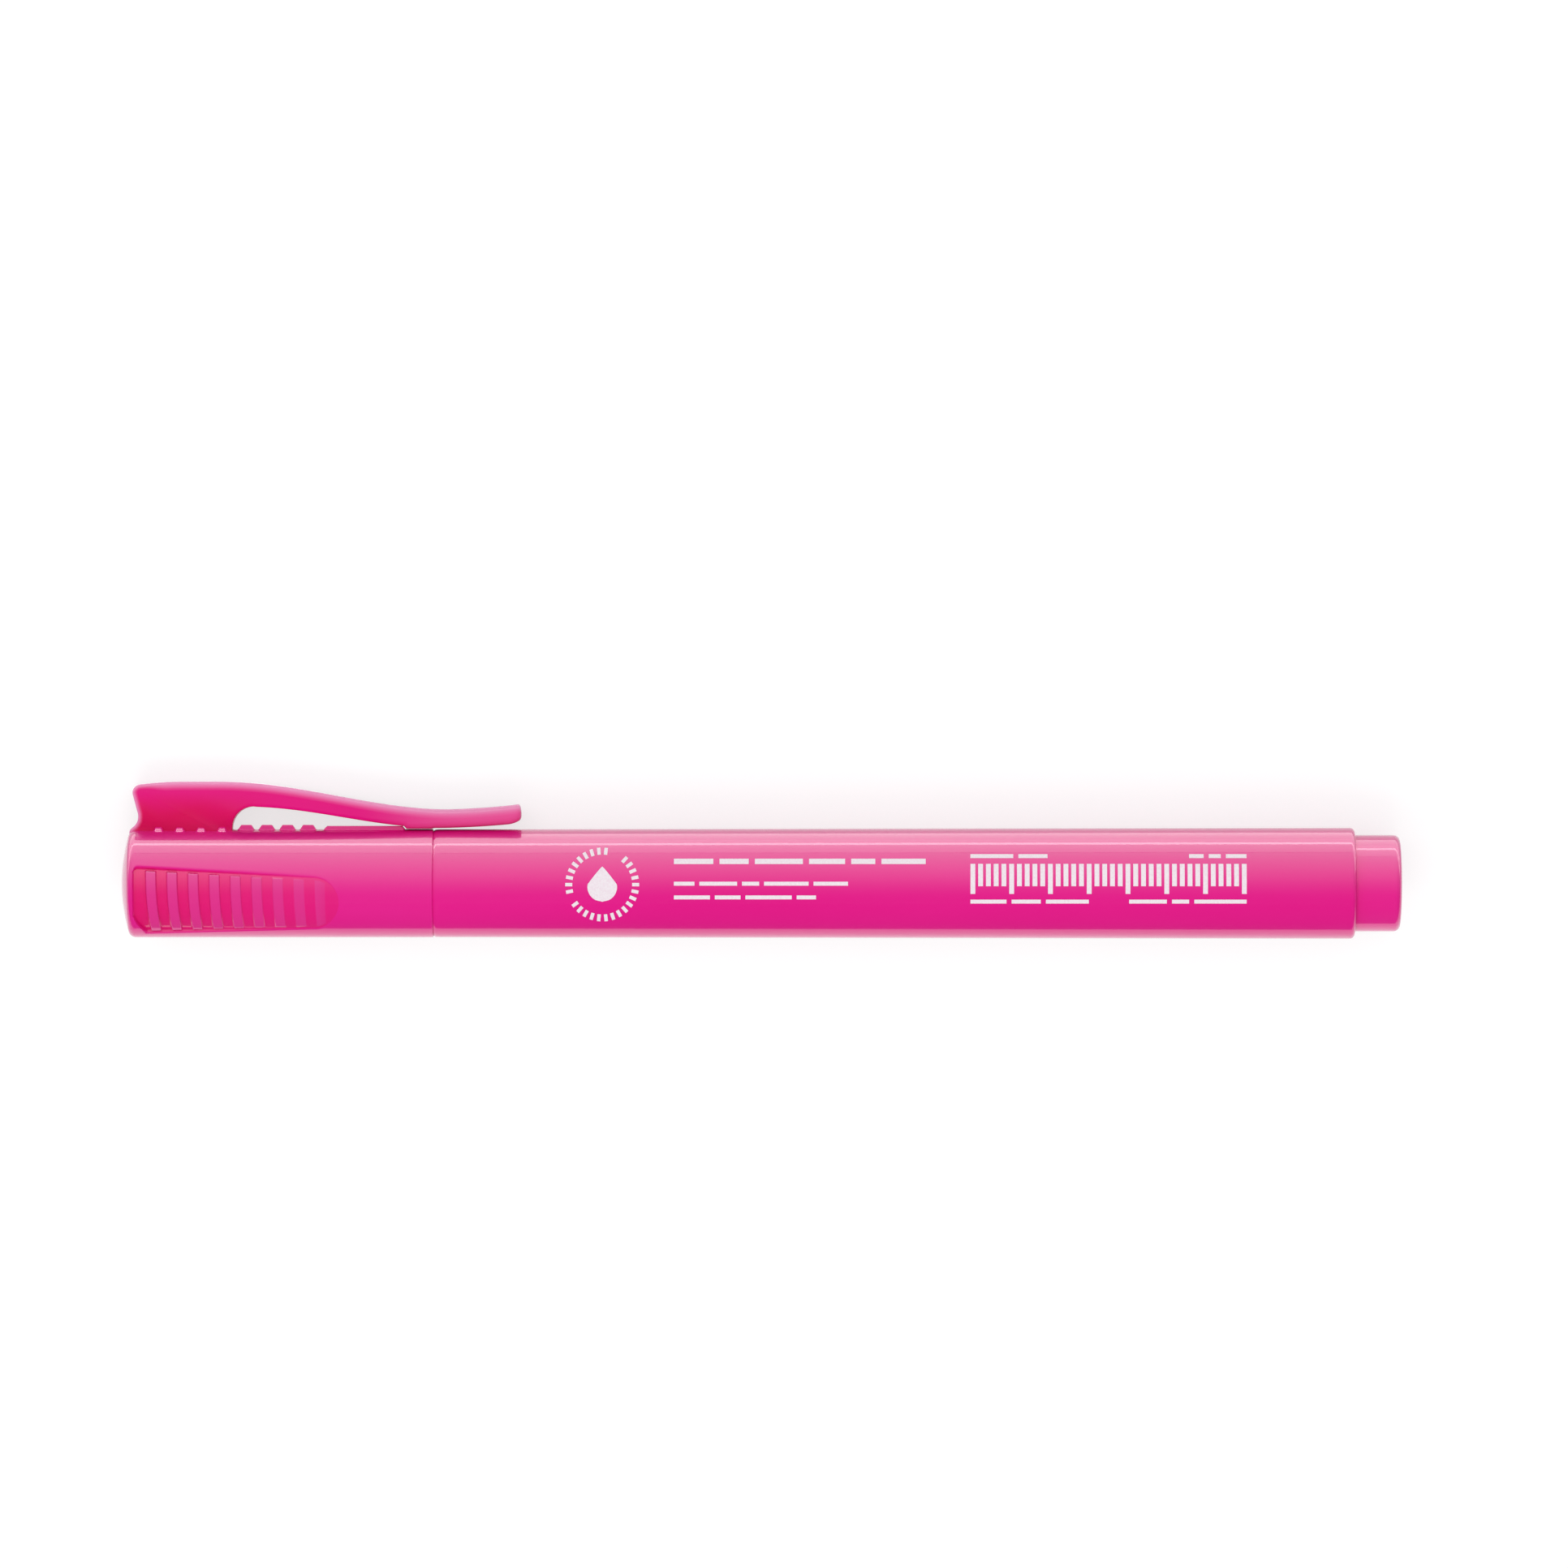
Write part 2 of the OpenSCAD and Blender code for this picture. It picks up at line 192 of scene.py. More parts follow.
class NodeBench:
    """A short hand for building one node tree."""

    def __init__(self, owner: bpy.types.Material | bpy.types.World, output: str = "OutputMaterial") -> None:
        """Start an empty node tree.

        Args:
            owner: The material or world that it belongs to.
            output: The output node's type, without its ShaderNode prefix.
        """
        self.owner = owner
        self.owner.use_nodes = True
        self.tree = owner.node_tree
        self.tree.nodes.clear()
        self.output = self.node(output)
        self.coords = self.node("TexCoord")

    def node(self, kind: str, **settings: object) -> bpy.types.Node:
        """Add a node.

        Args:
            kind: The node's type, without its ShaderNode prefix.
            settings: Properties, and input values where the name is an input's with spaces as underscores.

        Returns:
            The node.
        """
        made = self.tree.nodes.new("ShaderNode" + kind)
        for key, value in settings.items():
            socket = key.replace("_", " ")
            if socket in made.inputs:
                made.inputs[socket].default_value = value
            else:
                setattr(made, key, value)
        return made

    def link(self, source: Value, target: bpy.types.NodeSocket) -> None:
        """Feed an input from an output, or set it to a plain number or colour.

        Args:
            source: The output that feeds the input, or the plain value it's set to.
            target: The input.
        """
        if isinstance(source, bpy.types.NodeSocket):
            self.tree.links.new(source, target)
        else:
            target.default_value = (*source, 1) if isinstance(source, tuple) else source

    def noise(self, size_mm: float, detail: float = 2.0, stretch: float = 1.0) -> bpy.types.NodeSocket:
        """A noise pattern on the piece.

        Args:
            size_mm: Width of its patches.
            detail: Octaves of finer noise.
            stretch: How many times longer the patches are along the pen.

        Returns:
            The noise value's socket.
        """
        scale = 1 / (size_mm * MM)
        mapping = self.node("Mapping", Scale=(scale / stretch, scale, scale))
        self.link(self.coords.outputs["Object"], mapping.inputs["Vector"])
        made = self.node("TexNoise", Scale=1.0, Detail=detail, Roughness=0.55)
        self.link(mapping.outputs["Vector"], made.inputs["Vector"])
        return made.outputs["Fac"]

    def span(self, value: bpy.types.NodeSocket, low: float, high: float,
             source: Point = (0.3, 0.7)) -> bpy.types.NodeSocket:
        """Spread a pattern over a range of values.

        Args:
            value: The pattern.
            low: Value at the low end.
            high: Value at the high end.
            source: The pattern's own low and high ends.

        Returns:
            The spread value's socket.
        """
        made = self.node("MapRange", From_Min=source[0], From_Max=source[1], To_Min=low, To_Max=high)
        self.link(value, made.inputs["Value"])
        return made.outputs["Result"]

    def combine(self, operation: str, first: Value, second: Value) -> bpy.types.NodeSocket:
        """Combine two values.

        Args:
            operation: The Math node's operation.
            first: The first value.
            second: The second value.

        Returns:
            The result's socket.
        """
        made = self.node("Math", operation=operation)
        self.link(first, made.inputs[0])
        self.link(second, made.inputs[1])
        return made.outputs[0]

    def blend(self, share: bpy.types.NodeSocket, first: Value, second: Value) -> bpy.types.NodeSocket:
        """Mix two colours by a pattern.

        Args:
            share: The pattern, 0 for the first colour and 1 for the second.
            first: The first colour.
            second: The second colour.

        Returns:
            The mixed colour's socket.
        """
        made = self.node("Mix", data_type="RGBA")
        colours = [socket for socket in made.inputs if socket.type == "RGBA"]
        self.link(first, colours[0])
        self.link(second, colours[1])
        self.link(share, made.inputs["Factor"])
        return next(socket for socket in made.outputs if socket.type == "RGBA")

    def bump(self, height: bpy.types.NodeSocket, depth_mm: float, strength: float,
             under: bpy.types.NodeSocket | None = None) -> bpy.types.NodeSocket:
        """Raise a pattern as bump.

        Args:
            height: The pattern.
            depth_mm: How deep it is.
            strength: Share of the full effect.
            under: A coarser bump that this one lies on.

        Returns:
            The normal's socket.
        """
        made = self.node("Bump", Strength=strength, Distance=depth_mm * MM)
        self.link(height, made.inputs["Height"])
        if under is not None:
            self.link(under, made.inputs["Normal"])
        return made.outputs["Normal"]

    def finish(self, shader: bpy.types.Node) -> bpy.types.Material | bpy.types.World:
        """Send a shader to the output.

        Args:
            shader: The shader node.

        Returns:
            The finished material or world.
        """
        self.link(shader.outputs[0], self.output.inputs["Surface"])
        return self.owner

    def surface(self, colour: bpy.types.NodeSocket, roughness: bpy.types.NodeSocket,
                normal: bpy.types.NodeSocket, **settings: float) -> bpy.types.Material:
        """Finish with one principled surface.

        Args:
            colour: Its base colour.
            roughness: Its roughness.
            normal: Its normal.
            settings: Other input values, as for a node.

        Returns:
            The finished material.
        """
        made = self.node("BsdfPrincipled", **settings)
        self.link(colour, made.inputs["Base Color"])
        self.link(roughness, made.inputs["Roughness"])
        self.link(normal, made.inputs["Normal"])
        return self.finish(made)


@dataclass(frozen=True)
class MouldedPlastic:
    """Glossy injection-moulded plastic with flow marks, a soft orange peel and faint handling scuffs."""

    name: str
    colour: Colour
    flow_colour: Colour
    roughness: float = 0.42
    coat: float = 1.0
    specular: float = 0.25
    peel_mm: float = 0.0012
    painted_shade_colour: Colour | None = None
    painted_highlight_colour: Colour | None = None

    def material(self) -> bpy.types.Material:
        """Build the material.

        Returns:
            The node material.
        """
        bench = NodeBench(bpy.data.materials.new(self.name))
        flow = bench.noise(9, detail=3, stretch=5)
        fine = bench.noise(0.5, detail=1, stretch=1.3)
        waves = bench.noise(4.0, detail=1, stretch=2)
        scuffs = bench.noise(0.16, detail=4, stretch=9)
        colour = bench.blend(bench.span(flow, 0, 1), self.colour, self.flow_colour)
        # Painted shade darkens and painted highlight lightens the colour, by shares stored on the mesh's
        # vertices.
        for attribute, tint in (("recess", self.painted_shade_colour), ("rib", self.painted_highlight_colour)):
            if tint is not None:
                share = bench.node("Attribute", attribute_name=attribute).outputs["Fac"]
                colour = bench.blend(share, colour, tint)
        rough = bench.span(scuffs, self.roughness * 0.88, self.roughness * 1.15, (0.35, 0.75))
        peel = bench.bump(waves, self.peel_mm * 2.5, 0.4)
        return bench.surface(colour, rough, bench.bump(fine, self.peel_mm, 0.3, peel), Coat_Weight=self.coat,
                             Coat_Roughness=0.035, Specular_IOR_Level=self.specular)


@dataclass(frozen=True)
class InkedFibre:
    """Bonded fibre soaked in ink, with streaks along the pen."""

    name: str
    colour: Colour
    streak_colour: Colour
    fibre_mm: float = 0.12

    def material(self) -> bpy.types.Material:
        """Build the material.

        Returns:
            The node material.
        """
        bench = NodeBench(bpy.data.materials.new(self.name))
        streaks = bench.noise(self.fibre_mm, detail=3, stretch=14)
        patches = bench.noise(1.8, detail=2, stretch=2)
        mixed = bench.combine("ADD", bench.span(streaks, 0, 0.65), bench.span(patches, 0, 0.35))
        colour = bench.blend(mixed, self.colour, self.streak_colour)
        return bench.surface(colour, bench.span(patches, 0.5, 0.72), bench.bump(streaks, 0.03, 0.7),
                             Sheen_Weight=0.2, Sheen_Roughness=0.6, Specular_IOR_Level=0.35)


@dataclass(frozen=True)
class PadPrint:
    """Thin pale ink, slightly mottled where the pad lifted off."""

    name: str
    colour: Colour
    thin_colour: Colour

    def material(self) -> bpy.types.Material:
        """Build the material.

        Returns:
            The node material.
        """
        bench = NodeBench(bpy.data.materials.new(self.name))
        mottle = bench.noise(0.22, detail=3)
        colour = bench.blend(bench.span(mottle, 0, 1, (0.4, 0.8)), self.colour, self.thin_colour)
        return bench.surface(colour, bench.span(mottle, 0.35, 0.5), bench.bump(mottle, 0.004, 0.5),
                             Coat_Weight=0.25, Coat_Roughness=0.15)


@dataclass(frozen=True)
class TableFinish:
    """A plain white table that stays white in view and in reflections, and keeps the shadow."""

    name: str
    colour: Colour
    glow: float

    def material(self) -> bpy.types.Material:
        """Build the material.

        Returns:
            The node material.
        """
        bench = NodeBench(bpy.data.materials.new(self.name))
        path = bench.node("LightPath").outputs
        seen = path["Is Camera Ray"]
        for kind in ("Is Glossy Ray", "Is Transmission Ray"):
            seen = bench.combine("MAXIMUM", seen, path[kind])
        chosen = bench.node("MixShader")
        bench.link(seen, chosen.inputs[0])
        bench.link(bench.node("Emission", Strength=0.0).outputs[0], chosen.inputs[1])
        bench.link(bench.node("Emission", Strength=self.glow).outputs[0], chosen.inputs[2])
        both = bench.node("AddShader")
        bench.link(bench.node("BsdfDiffuse", Color=(*self.colour, 1)).outputs[0], both.inputs[0])
        bench.link(chosen.outputs[0], both.inputs[1])
        bench.owner.cycles.emission_sampling = "NONE"
        return bench.finish(both)


BARREL_PINK = MouldedPlastic("barrel_pink", srgb(227, 0, 134), srgb(230, 12, 139))
# The cap's colours add painted shade in its finger scoops and a painted highlight on the scoop ribs.
CAP_PINK = MouldedPlastic("cap_pink", srgb(227, 4, 135), srgb(230, 22, 142),
                          painted_shade_colour=srgb(228, 2, 112), painted_highlight_colour=srgb(224, 42, 138))
# The clip's colours add painted shade low on its block and a painted highlight on its top edge and tip.
CLIP_PINK = MouldedPlastic("clip_pink", srgb(224, 4, 128), srgb(225, 8, 120), coat=0.3, specular=0.1,
                           painted_shade_colour=srgb(214, 8, 88), painted_highlight_colour=srgb(243, 136, 190))
PLUG_PINK = MouldedPlastic("plug_pink", srgb(230, 14, 138), srgb(233, 32, 144))
LINER_PLASTIC = MouldedPlastic("liner_plastic", srgb(236, 214, 226), srgb(242, 224, 233), coat=0.1)
NIB_FIBRE = InkedFibre("nib_fibre", srgb(212, 48, 100), srgb(233, 96, 138))
RESERVOIR_FIBRE = InkedFibre("reservoir_fibre", srgb(232, 90, 140), srgb(244, 140, 176), fibre_mm=0.3)
WRAP_FILM = MouldedPlastic("wrap_film", srgb(230, 226, 230), srgb(240, 238, 240), roughness=0.25)
PALE_INK = PadPrint("pale_ink", srgb(240, 231, 237), srgb(233, 212, 224))
TABLE = TableFinish("white_table", (0.34, 0.34, 0.34), 0.71)


# ---------------------------------------------------------------- axes and meshes


@dataclass(frozen=True)
class PenAxes:
    """The pen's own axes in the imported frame."""

    cap_end: Vector
    viewer: Vector
    clip_up: Vector

    @classmethod
    def from_frame(cls) -> "PenAxes":
        """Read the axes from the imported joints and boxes.

        Returns:
            The pen's axes.
        """
        joints = {joint["name"]: joint for joint in frame["joints"]}
        viewer = Vector(joints["clip_flex"]["axis"]).normalized()
        on_axis = joints["cap_turn"]["pos_m"]
        end = Vector((CAD_BOX[0].x, on_axis[1], on_axis[2]))
        return cls(end, viewer, viewer.cross(ALONG))

    def matrix(self) -> Matrix:
        """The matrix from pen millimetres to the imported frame.

        Returns:
            The matrix.
        """
        columns = (ALONG * MM, -self.viewer * MM, self.clip_up * MM)
        rows = [[column[i] for column in columns] + [self.cap_end[i]] for i in range(3)]
        return Matrix((*rows, (0, 0, 0, 1)))

    def at(self, along: float, towards: float, up: float) -> Vector:
        """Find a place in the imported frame.

        Args:
            along: Millimetres from the cap's end.
            towards: Millimetres from the axis towards the photograph's viewer.
            up: Millimetres from the axis on the clip's side.

        Returns:
            The place in metres.
        """
        return self.matrix() @ Vector((along, -towards, up))

    def back(self, place: Vector) -> Vector:
        """A packed place in pen millimetres: along, away from the viewer, up."""
        return self.matrix().inverted() @ place


AXES = PenAxes.from_frame()


@dataclass
class Solid:
    """Vertices and faces of a mesh in pen millimetres."""

    vertices: list[Place] = field(default_factory=list)
    faces: list[tuple[int, ...]] = field(default_factory=list)
    values: dict[str, list[float]] = field(default_factory=dict)

    def add_ring(self, ring: Iterable[Place]) -> range:
        """Add a ring of vertices.

        Args:
            ring: The vertices.

        Returns:
            Their indices.
        """
        first = len(self.vertices)
        self.vertices.extend(ring)
        return range(first, len(self.vertices))

    def join(self, low: Sequence[int], high: Sequence[int], closed: bool = True) -> None:
        """Skin two rings, where a ring of one vertex is a pole.

        Args:
            low: The first ring.
            high: The second ring.
            closed: Whether the rings close on themselves.
        """
        count = max(len(low), len(high))
        for i in range(count if closed else count - 1):
            j = (i + 1) % count
            if len(low) == 1:
                self.faces.append((low[0], high[j], high[i]))
            elif len(high) == 1:
                self.faces.append((low[i], low[j], high[0]))
            else:
                self.faces.append((low[i], low[j], high[j], high[i]))

    def piece(self, name: str, finish: bpy.types.Material, sharp: float = 35.0) -> bpy.types.Object:
        """Make a Blender object of the solid.

        Args:
            name: Name of the piece.
            finish: Its material.
            sharp: Edges that turn by more than these degrees stay sharp.

        Returns:
            The object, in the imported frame.
        """
        mesh = bpy.data.meshes.new(name)
        mesh.from_pydata(self.vertices, [], self.faces)
        mesh.transform(AXES.matrix())
        mesh.validate()
        for key, stored in self.values.items():
            attribute = mesh.attributes.new(key, "FLOAT", "POINT")
            attribute.data.foreach_set("value", stored)
        mesh.polygons.foreach_set("use_smooth", [True] * len(mesh.polygons))
        mesh.set_sharp_from_angle(angle=math.radians(sharp))
        mesh.materials.append(finish)
        mesh.update()
        made = bpy.data.objects.new(name, mesh)
        bpy.context.scene.collection.objects.link(made)
        return made


def revolve(profile: Profile, segments: int, loop: bool = False) -> Solid:
    """Turn a half profile about the pen's axis.

    Args:
        profile: Points as radius and place along the pen.
        segments: Steps round the axis.
        loop: Whether the profile closes on itself, as a tube's does.

    Returns:
        The solid.
    """
    solid = Solid()
    turns = [2 * math.pi * k / segments for k in range(segments)]
    rings: list[range] = []
    for radius, along in profile:
        ring = [(along, -radius * math.sin(turn), radius * math.cos(turn)) for turn in turns]
        rings.append(solid.add_ring(ring if radius else [(along, 0.0, 0.0)]))
    for low, high in zip(rings, rings[1:]):
        solid.join(low, high)
    if loop:
        solid.join(rings[-1], rings[0])
    return solid


def dress(piece: bpy.types.Object, slot: Slot, body: Body | None, *nodes: str) -> bpy.types.Object:
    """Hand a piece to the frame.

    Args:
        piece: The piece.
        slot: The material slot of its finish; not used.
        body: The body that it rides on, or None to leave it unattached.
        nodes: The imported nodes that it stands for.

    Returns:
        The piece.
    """
    if body is not None:
        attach(piece, body.value)
    if nodes:
        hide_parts(*nodes)
    log.info("%s: %d vertices", piece.name, len(piece.data.vertices))
    return piece


# ---------------------------------------------------------------- camera and image points


@dataclass(frozen=True)
class PhotoPoint:
    """A named place in the photograph, scaled to a square frame; None where only one of x and y is read."""

    x: float | None
    y: float | None


PHOTO_SIDE = 1568
PHOTO_POINTS = {
    "left_edge": PhotoPoint(121.7, None),
    "right_edge": PhotoPoint(1401.6, None),
    "top_edge": PhotoPoint(None, 781.6),
    "bottom_edge": PhotoPoint(None, 939.0),
    "clip_tip": PhotoPoint(521.9, 816.8),
    "arch_foot": PhotoPoint(233.7, 828.6),
    "cap_mouth": PhotoPoint(433.8, 828.6),
    "barrel_rim": PhotoPoint(1354.1, 827.8),
    "tail_corner": PhotoPoint(1401.6, 835.3),
    "scoop_end": PhotoPoint(337.6, 901.7),
    "ring_mark": PhotoPoint(602.2, 884.6),
    "stroke_mark": PhotoPoint(799.8, 879.4),
    "tick_scale": PhotoPoint(1108.6, 878.9),
}


@dataclass
class PhotoCamera:
    """The photograph's long-lens view, square on to the side of the pen."""

    lens_mm: float = 300.0
    sensor_mm: float = 36.0
    frame_width_mm: float = 183.54
    right_of_cap_end: float = 77.52
    above_axis: float = 11.62

    def make(self) -> bpy.types.Object:
        """Create the camera and set it on the scene.

        Returns:
            The camera.
        """
        data = bpy.data.cameras.new("photo_camera")
        data.lens = self.lens_mm
        data.sensor_width = self.sensor_mm
        data.sensor_fit = "AUTO"
        data.clip_start = 0.05
        data.clip_end = 20.0
        self.camera = bpy.data.objects.new("photo_camera", data)
        distance = self.frame_width_mm * MM * self.lens_mm / self.sensor_mm
        aim = AXES.at(self.right_of_cap_end, 0, self.above_axis)
        turn = Matrix((ALONG, AXES.clip_up, AXES.viewer)).transposed().to_4x4()
        self.camera.matrix_world = Matrix.Translation(aim + AXES.viewer * distance) @ turn
        bpy.context.scene.collection.objects.link(self.camera)
        bpy.context.scene.camera = self.camera
        return self.camera

    def reach(self) -> float:
        """The lens's length in image pixels."""
        return PHOTO_SIDE * self.lens_mm / self.sensor_mm

    def pixel(self, place: Vector) -> Point:
        """Where a place shows.

        Args:
            place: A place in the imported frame.

        Returns:
            Its x and y in the scaled photograph.
        """
        data = self.camera.data
        local = self.camera.matrix_world.inverted() @ place
        right = local.x / -local.z * self.reach()
        up = local.y / -local.z * self.reach()
        return (PHOTO_SIDE / 2 - data.shift_x * PHOTO_SIDE + right,
                PHOTO_SIDE / 2 + data.shift_y * PHOTO_SIDE - up)

    def onto(self, point: PhotoPoint, carrier: bpy.types.Object) -> Vector:
        """Find a photographed place on a finished piece.

        Args:
            point: The place in the photograph.
            carrier: What carries it, as finished and placed.

        Returns:
            Where the ray meets the carrier, or the carrier's place nearest the ray.
        """
        data = self.camera.data
        ray = Vector((point.x - PHOTO_SIDE / 2 + data.shift_x * PHOTO_SIDE,
                      PHOTO_SIDE / 2 - point.y + data.shift_y * PHOTO_SIDE, -self.reach()))
        start = self.camera.matrix_world.translation
        direction = (self.camera.matrix_world.to_3x3() @ ray).normalized()
        depsgraph = bpy.context.evaluated_depsgraph_get()
        tree = BVHTree.FromObject(carrier, depsgraph)
        hit = tree.ray_cast(start, direction)[0]
        if hit is None:
            corners = [carrier.matrix_world @ Vector(corner) for corner in carrier.bound_box]
            middle = sum(corners, Vector()) / len(corners)
            abreast = start + direction * (middle - start).dot(direction)
            hit = tree.find_nearest(abreast)[0]
        return hit


# ---------------------------------------------------------------- the pen


@dataclass
class Barrel:
    """The long tube, slightly wider at its rear."""

    front_x: float = 35.25
    rear_x: float = 144.3
    face_r: float = 5.58
    front_r: float = 6.32
    rear_r: float = 6.502
    bore_r: float = 5.25
    bevel: float = 1.55
    face_ease: float = 0.12
    bend: float = 0.5
    bend_ease: float = 0.02
    rim: float = 0.55
    bore_ease: float = 0.1
    segments: int = 192

    def radius(self, along: float) -> float:
        """Outer radius behind the bevel at a place along the pen."""
        share = (along - self.front_x - self.bevel) / (self.rear_x - self.front_x - self.bevel)
        return self.front_r + (self.rear_r - self.front_r) * share

    def build(self) -> bpy.types.Object:
        """Build the tube with its front bevel, rounded rear rim and bore.

        Returns:
            The barrel.
        """
        bevel_end = self.front_x + self.bevel
        face = self.face_r - self.face_ease
        slope = (self.front_r - self.face_r) / self.bevel
        lead = bevel_end - 0.7 * self.bend
        profile: Profile = [(self.bore_r, self.front_x)]
        profile += arc((face, self.front_x + self.face_ease), self.face_ease, -90, -20, 4)
        profile += [(self.face_r + slope * (x - self.front_x), x)
                    for x in spread(self.front_x + 0.2, lead, 6)]
        for x in spread(lead, bevel_end + self.bend, 5)[1:]:
            straight = self.face_r + slope * (x - self.front_x)
            ease = self.bend_ease * (1 - abs(x - bevel_end) / self.bend)
            profile.append((min(straight, self.radius(x)) - ease, x))
        profile += [(self.radius(x), x) for x in spread(bevel_end + 0.9, self.rear_x - self.rim, 40)]
        profile += arc((self.rear_r - self.rim, self.rear_x - self.rim), self.rim, 6, 90, 10)
        profile += [(self.bore_r + self.bore_ease, self.rear_x), (self.bore_r, self.rear_x - self.bore_ease)]
        profile += [(self.bore_r, x) for x in spread(self.rear_x - 2, self.front_x + 2, 8)]
        solid = revolve(profile, self.segments, loop=True)
        return dress(solid.piece("barrel_tube", BARREL_PINK.material()), Slot.BARREL, Body.PEN, "barrel")


@dataclass
class TailPlug:
    """The stepped post that closes the barrel."""

    start_x: float = 135.3
    step_x: float = 144.3
    end_x: float = 149.85
    post_r: float = 5.65
    tenon_r: float = 5.22
    corner: float = 0.8
    corner_drop: float = 0.24
    dome: float = 0.3
    cup_r: float = 4.72
    cup_end_x: float = 142.1
    core_r: float = 4.09
    floor: float = 1.5
    segments: int = 160

    def build(self) -> bpy.types.Object:
        """Build the plug: hollow tenon, cored post, rounded corner and shallow dome.

        Returns:
            The plug.
        """
        bulge = (self.post_r**2 + self.dome**2) / (2 * self.dome)
        corner = (self.post_r - self.corner, self.end_x - self.corner - self.corner_drop)
        profile: Profile = [(self.cup_r, self.start_x), (self.tenon_r, self.start_x),
                            (self.tenon_r, self.step_x), (self.post_r, self.step_x + 0.004)]
        profile += [(self.post_r, x) for x in spread(self.step_x + 0.5, corner[1], 6)]
        profile += arc(corner, self.corner, 8, 82, 10)
        top = self.end_x - bulge
        profile += [(r, top + math.sqrt(bulge**2 - r**2)) for r in spread(self.post_r - self.corner, 0.4, 8)]
        profile += [(0.0, self.end_x)]
        profile += [(0.0, self.end_x - self.floor), (self.core_r, self.end_x - self.floor)]
        profile += [(self.core_r, self.cup_end_x), (self.cup_r, self.cup_end_x)]
        solid = revolve(profile, self.segments)
        solid.join(range(len(solid.vertices) - self.segments, len(solid.vertices)), range(self.segments))
        return dress(solid.piece("tail_post", PLUG_PINK.material()), Slot.PLUG, Body.PEN, "tail_plug")


def slot_outline(height: float, thickness: float, edge: float, steps: int) -> list[Point]:
    """A rectangle with rounded corners, as across and up, anticlockwise from its right side.

    Args:
        height: Size upwards.
        thickness: Size across.
        edge: Radius of the corners.
        steps: Steps in each corner.

    Returns:
        The outline.
    """
    outline = []
    for quarter, (sx, sz) in enumerate(((1, 1), (-1, 1), (-1, -1), (1, -1))):
        for a in spread(90 * quarter, 90 * quarter + 90, steps):
            turn = math.radians(a)
            outline.append((sx * (thickness / 2 - edge) + edge * math.cos(turn),
                            sz * (height / 2 - edge) + edge * math.sin(turn)))
    return outline


def slot_reach(height: float, thickness: float, edge: float, turn: float) -> float:
    """How far a rectangle with rounded corners reaches from its middle.

    Args:
        height: Size upwards.
        thickness: Size across.
        edge: Radius of the corners.
        turn: The way that is measured, in radians from across.

    Returns:
        The distance to its outline.
    """
    across, up = abs(math.cos(turn)), abs(math.sin(turn))
    wide, high = thickness / 2, height / 2
    if up * wide <= across * (high - edge):
        return wide / across
    if across * high <= up * (wide - edge):
        return high / up
    ahead = (wide - edge) * across + (high - edge) * up
    return ahead + math.sqrt(ahead**2 - (wide - edge)**2 - (high - edge)**2 + edge**2)


@dataclass
class GripSection:
    """The flared nose piece with its collar and the slot that the nib comes out of."""

    nose_x: float = 17.3
    flare_x: float = 19.0
    collar_x: float = 33.05
    face_x: float = 35.25
    end_x: float = 47.25
    nose_r: float = 3.25
    flare_r: float = 45.5
    collar_r: float = 5.56
    collar_crown: float = 0.04
    collar_ease: float = 0.02
    collar_lead: float = 0.15
    collar_run: float = 1.9
    groove: float = 0.55
    groove_depth: float = 0.04
    tenon_r: float = 5.22
    nose_round: float = 0.75
    slot_h: float = 4.6
    slot_t: float = 2.62
    slot_edge: float = 0.55
    lip: float = 0.08
    cup_x: float = 33.65
    cup_r: float = 4.72
    segments: int = 192

    def flared(self, along: float) -> float:
        """Radius of the flare at a place along the pen."""
        return self.nose_r + self.flare_r - math.sqrt(self.flare_r**2 - (along - self.flare_x)**2)

    def build(self) -> bpy.types.Object:
        """Build the section from the slot over the nose and flare to the tenon and back through its cup.

        Returns:
            The section.
        """
        solid = Solid()
        nose_end = self.collar_x - self.groove
        flare_end_r = self.flared(nose_end)
        profile: Profile = arc((self.nose_r - self.nose_round, self.nose_x + self.nose_round),
                               self.nose_round, -90, 0, 10)
        profile += [(self.nose_r, self.flare_x - 0.3)]
        profile += [(self.flared(x), x) for x in spread(self.flare_x, nose_end, 40)]
        groove_r = flare_end_r - self.groove_depth
        profile += [(flare_end_r + 0.02, nose_end + 0.12), (groove_r, nose_end + 0.22),
                    (groove_r, nose_end + 0.34), (self.collar_r - 0.12, self.collar_x - 0.1)]
        collar_r, collar_start = self.collar_r - self.collar_ease, self.collar_x + self.collar_lead
        profile += [(collar_r, collar_start)]
        profile += [(collar_r + self.collar_crown * math.sin(math.pi * share),
                     collar_start + share * self.collar_run) for share in spread(0.1, 1, 8)]
        profile += [(collar_r, self.face_x), (self.tenon_r, self.face_x), (self.tenon_r, self.end_x)]
        profile += [(self.cup_r, self.end_x), (self.cup_r, self.cup_x)]
        turns = [2 * math.pi * k / self.segments for k in range(self.segments)]
        rings: list[range] = []
        for depth, grow in ((self.cup_x - self.nose_x, 0.0), (3.0, 0.0), (0.12, 0.0), (0.0, self.lip)):
            height, thickness = self.slot_h + 2 * grow, self.slot_t + 2 * grow
            reaches = [slot_reach(height, thickness, self.slot_edge + grow / 2, turn) for turn in turns]
            rings.append(solid.add_ring([(self.nose_x + depth, reach * math.cos(turn), reach * math.sin(turn))
                                         for reach, turn in zip(reaches, turns)]))
        for r, along in profile:
            rings.append(solid.add_ring([(along, r * math.cos(turn), r * math.sin(turn)) for turn in turns]))
        for low, high in zip(rings, rings[1:] + rings[:1]):
            solid.join(low, high)
        piece = solid.piece("grip_nose", BARREL_PINK.material())
        return dress(piece, Slot.SECTION, Body.PEN, "grip_section")


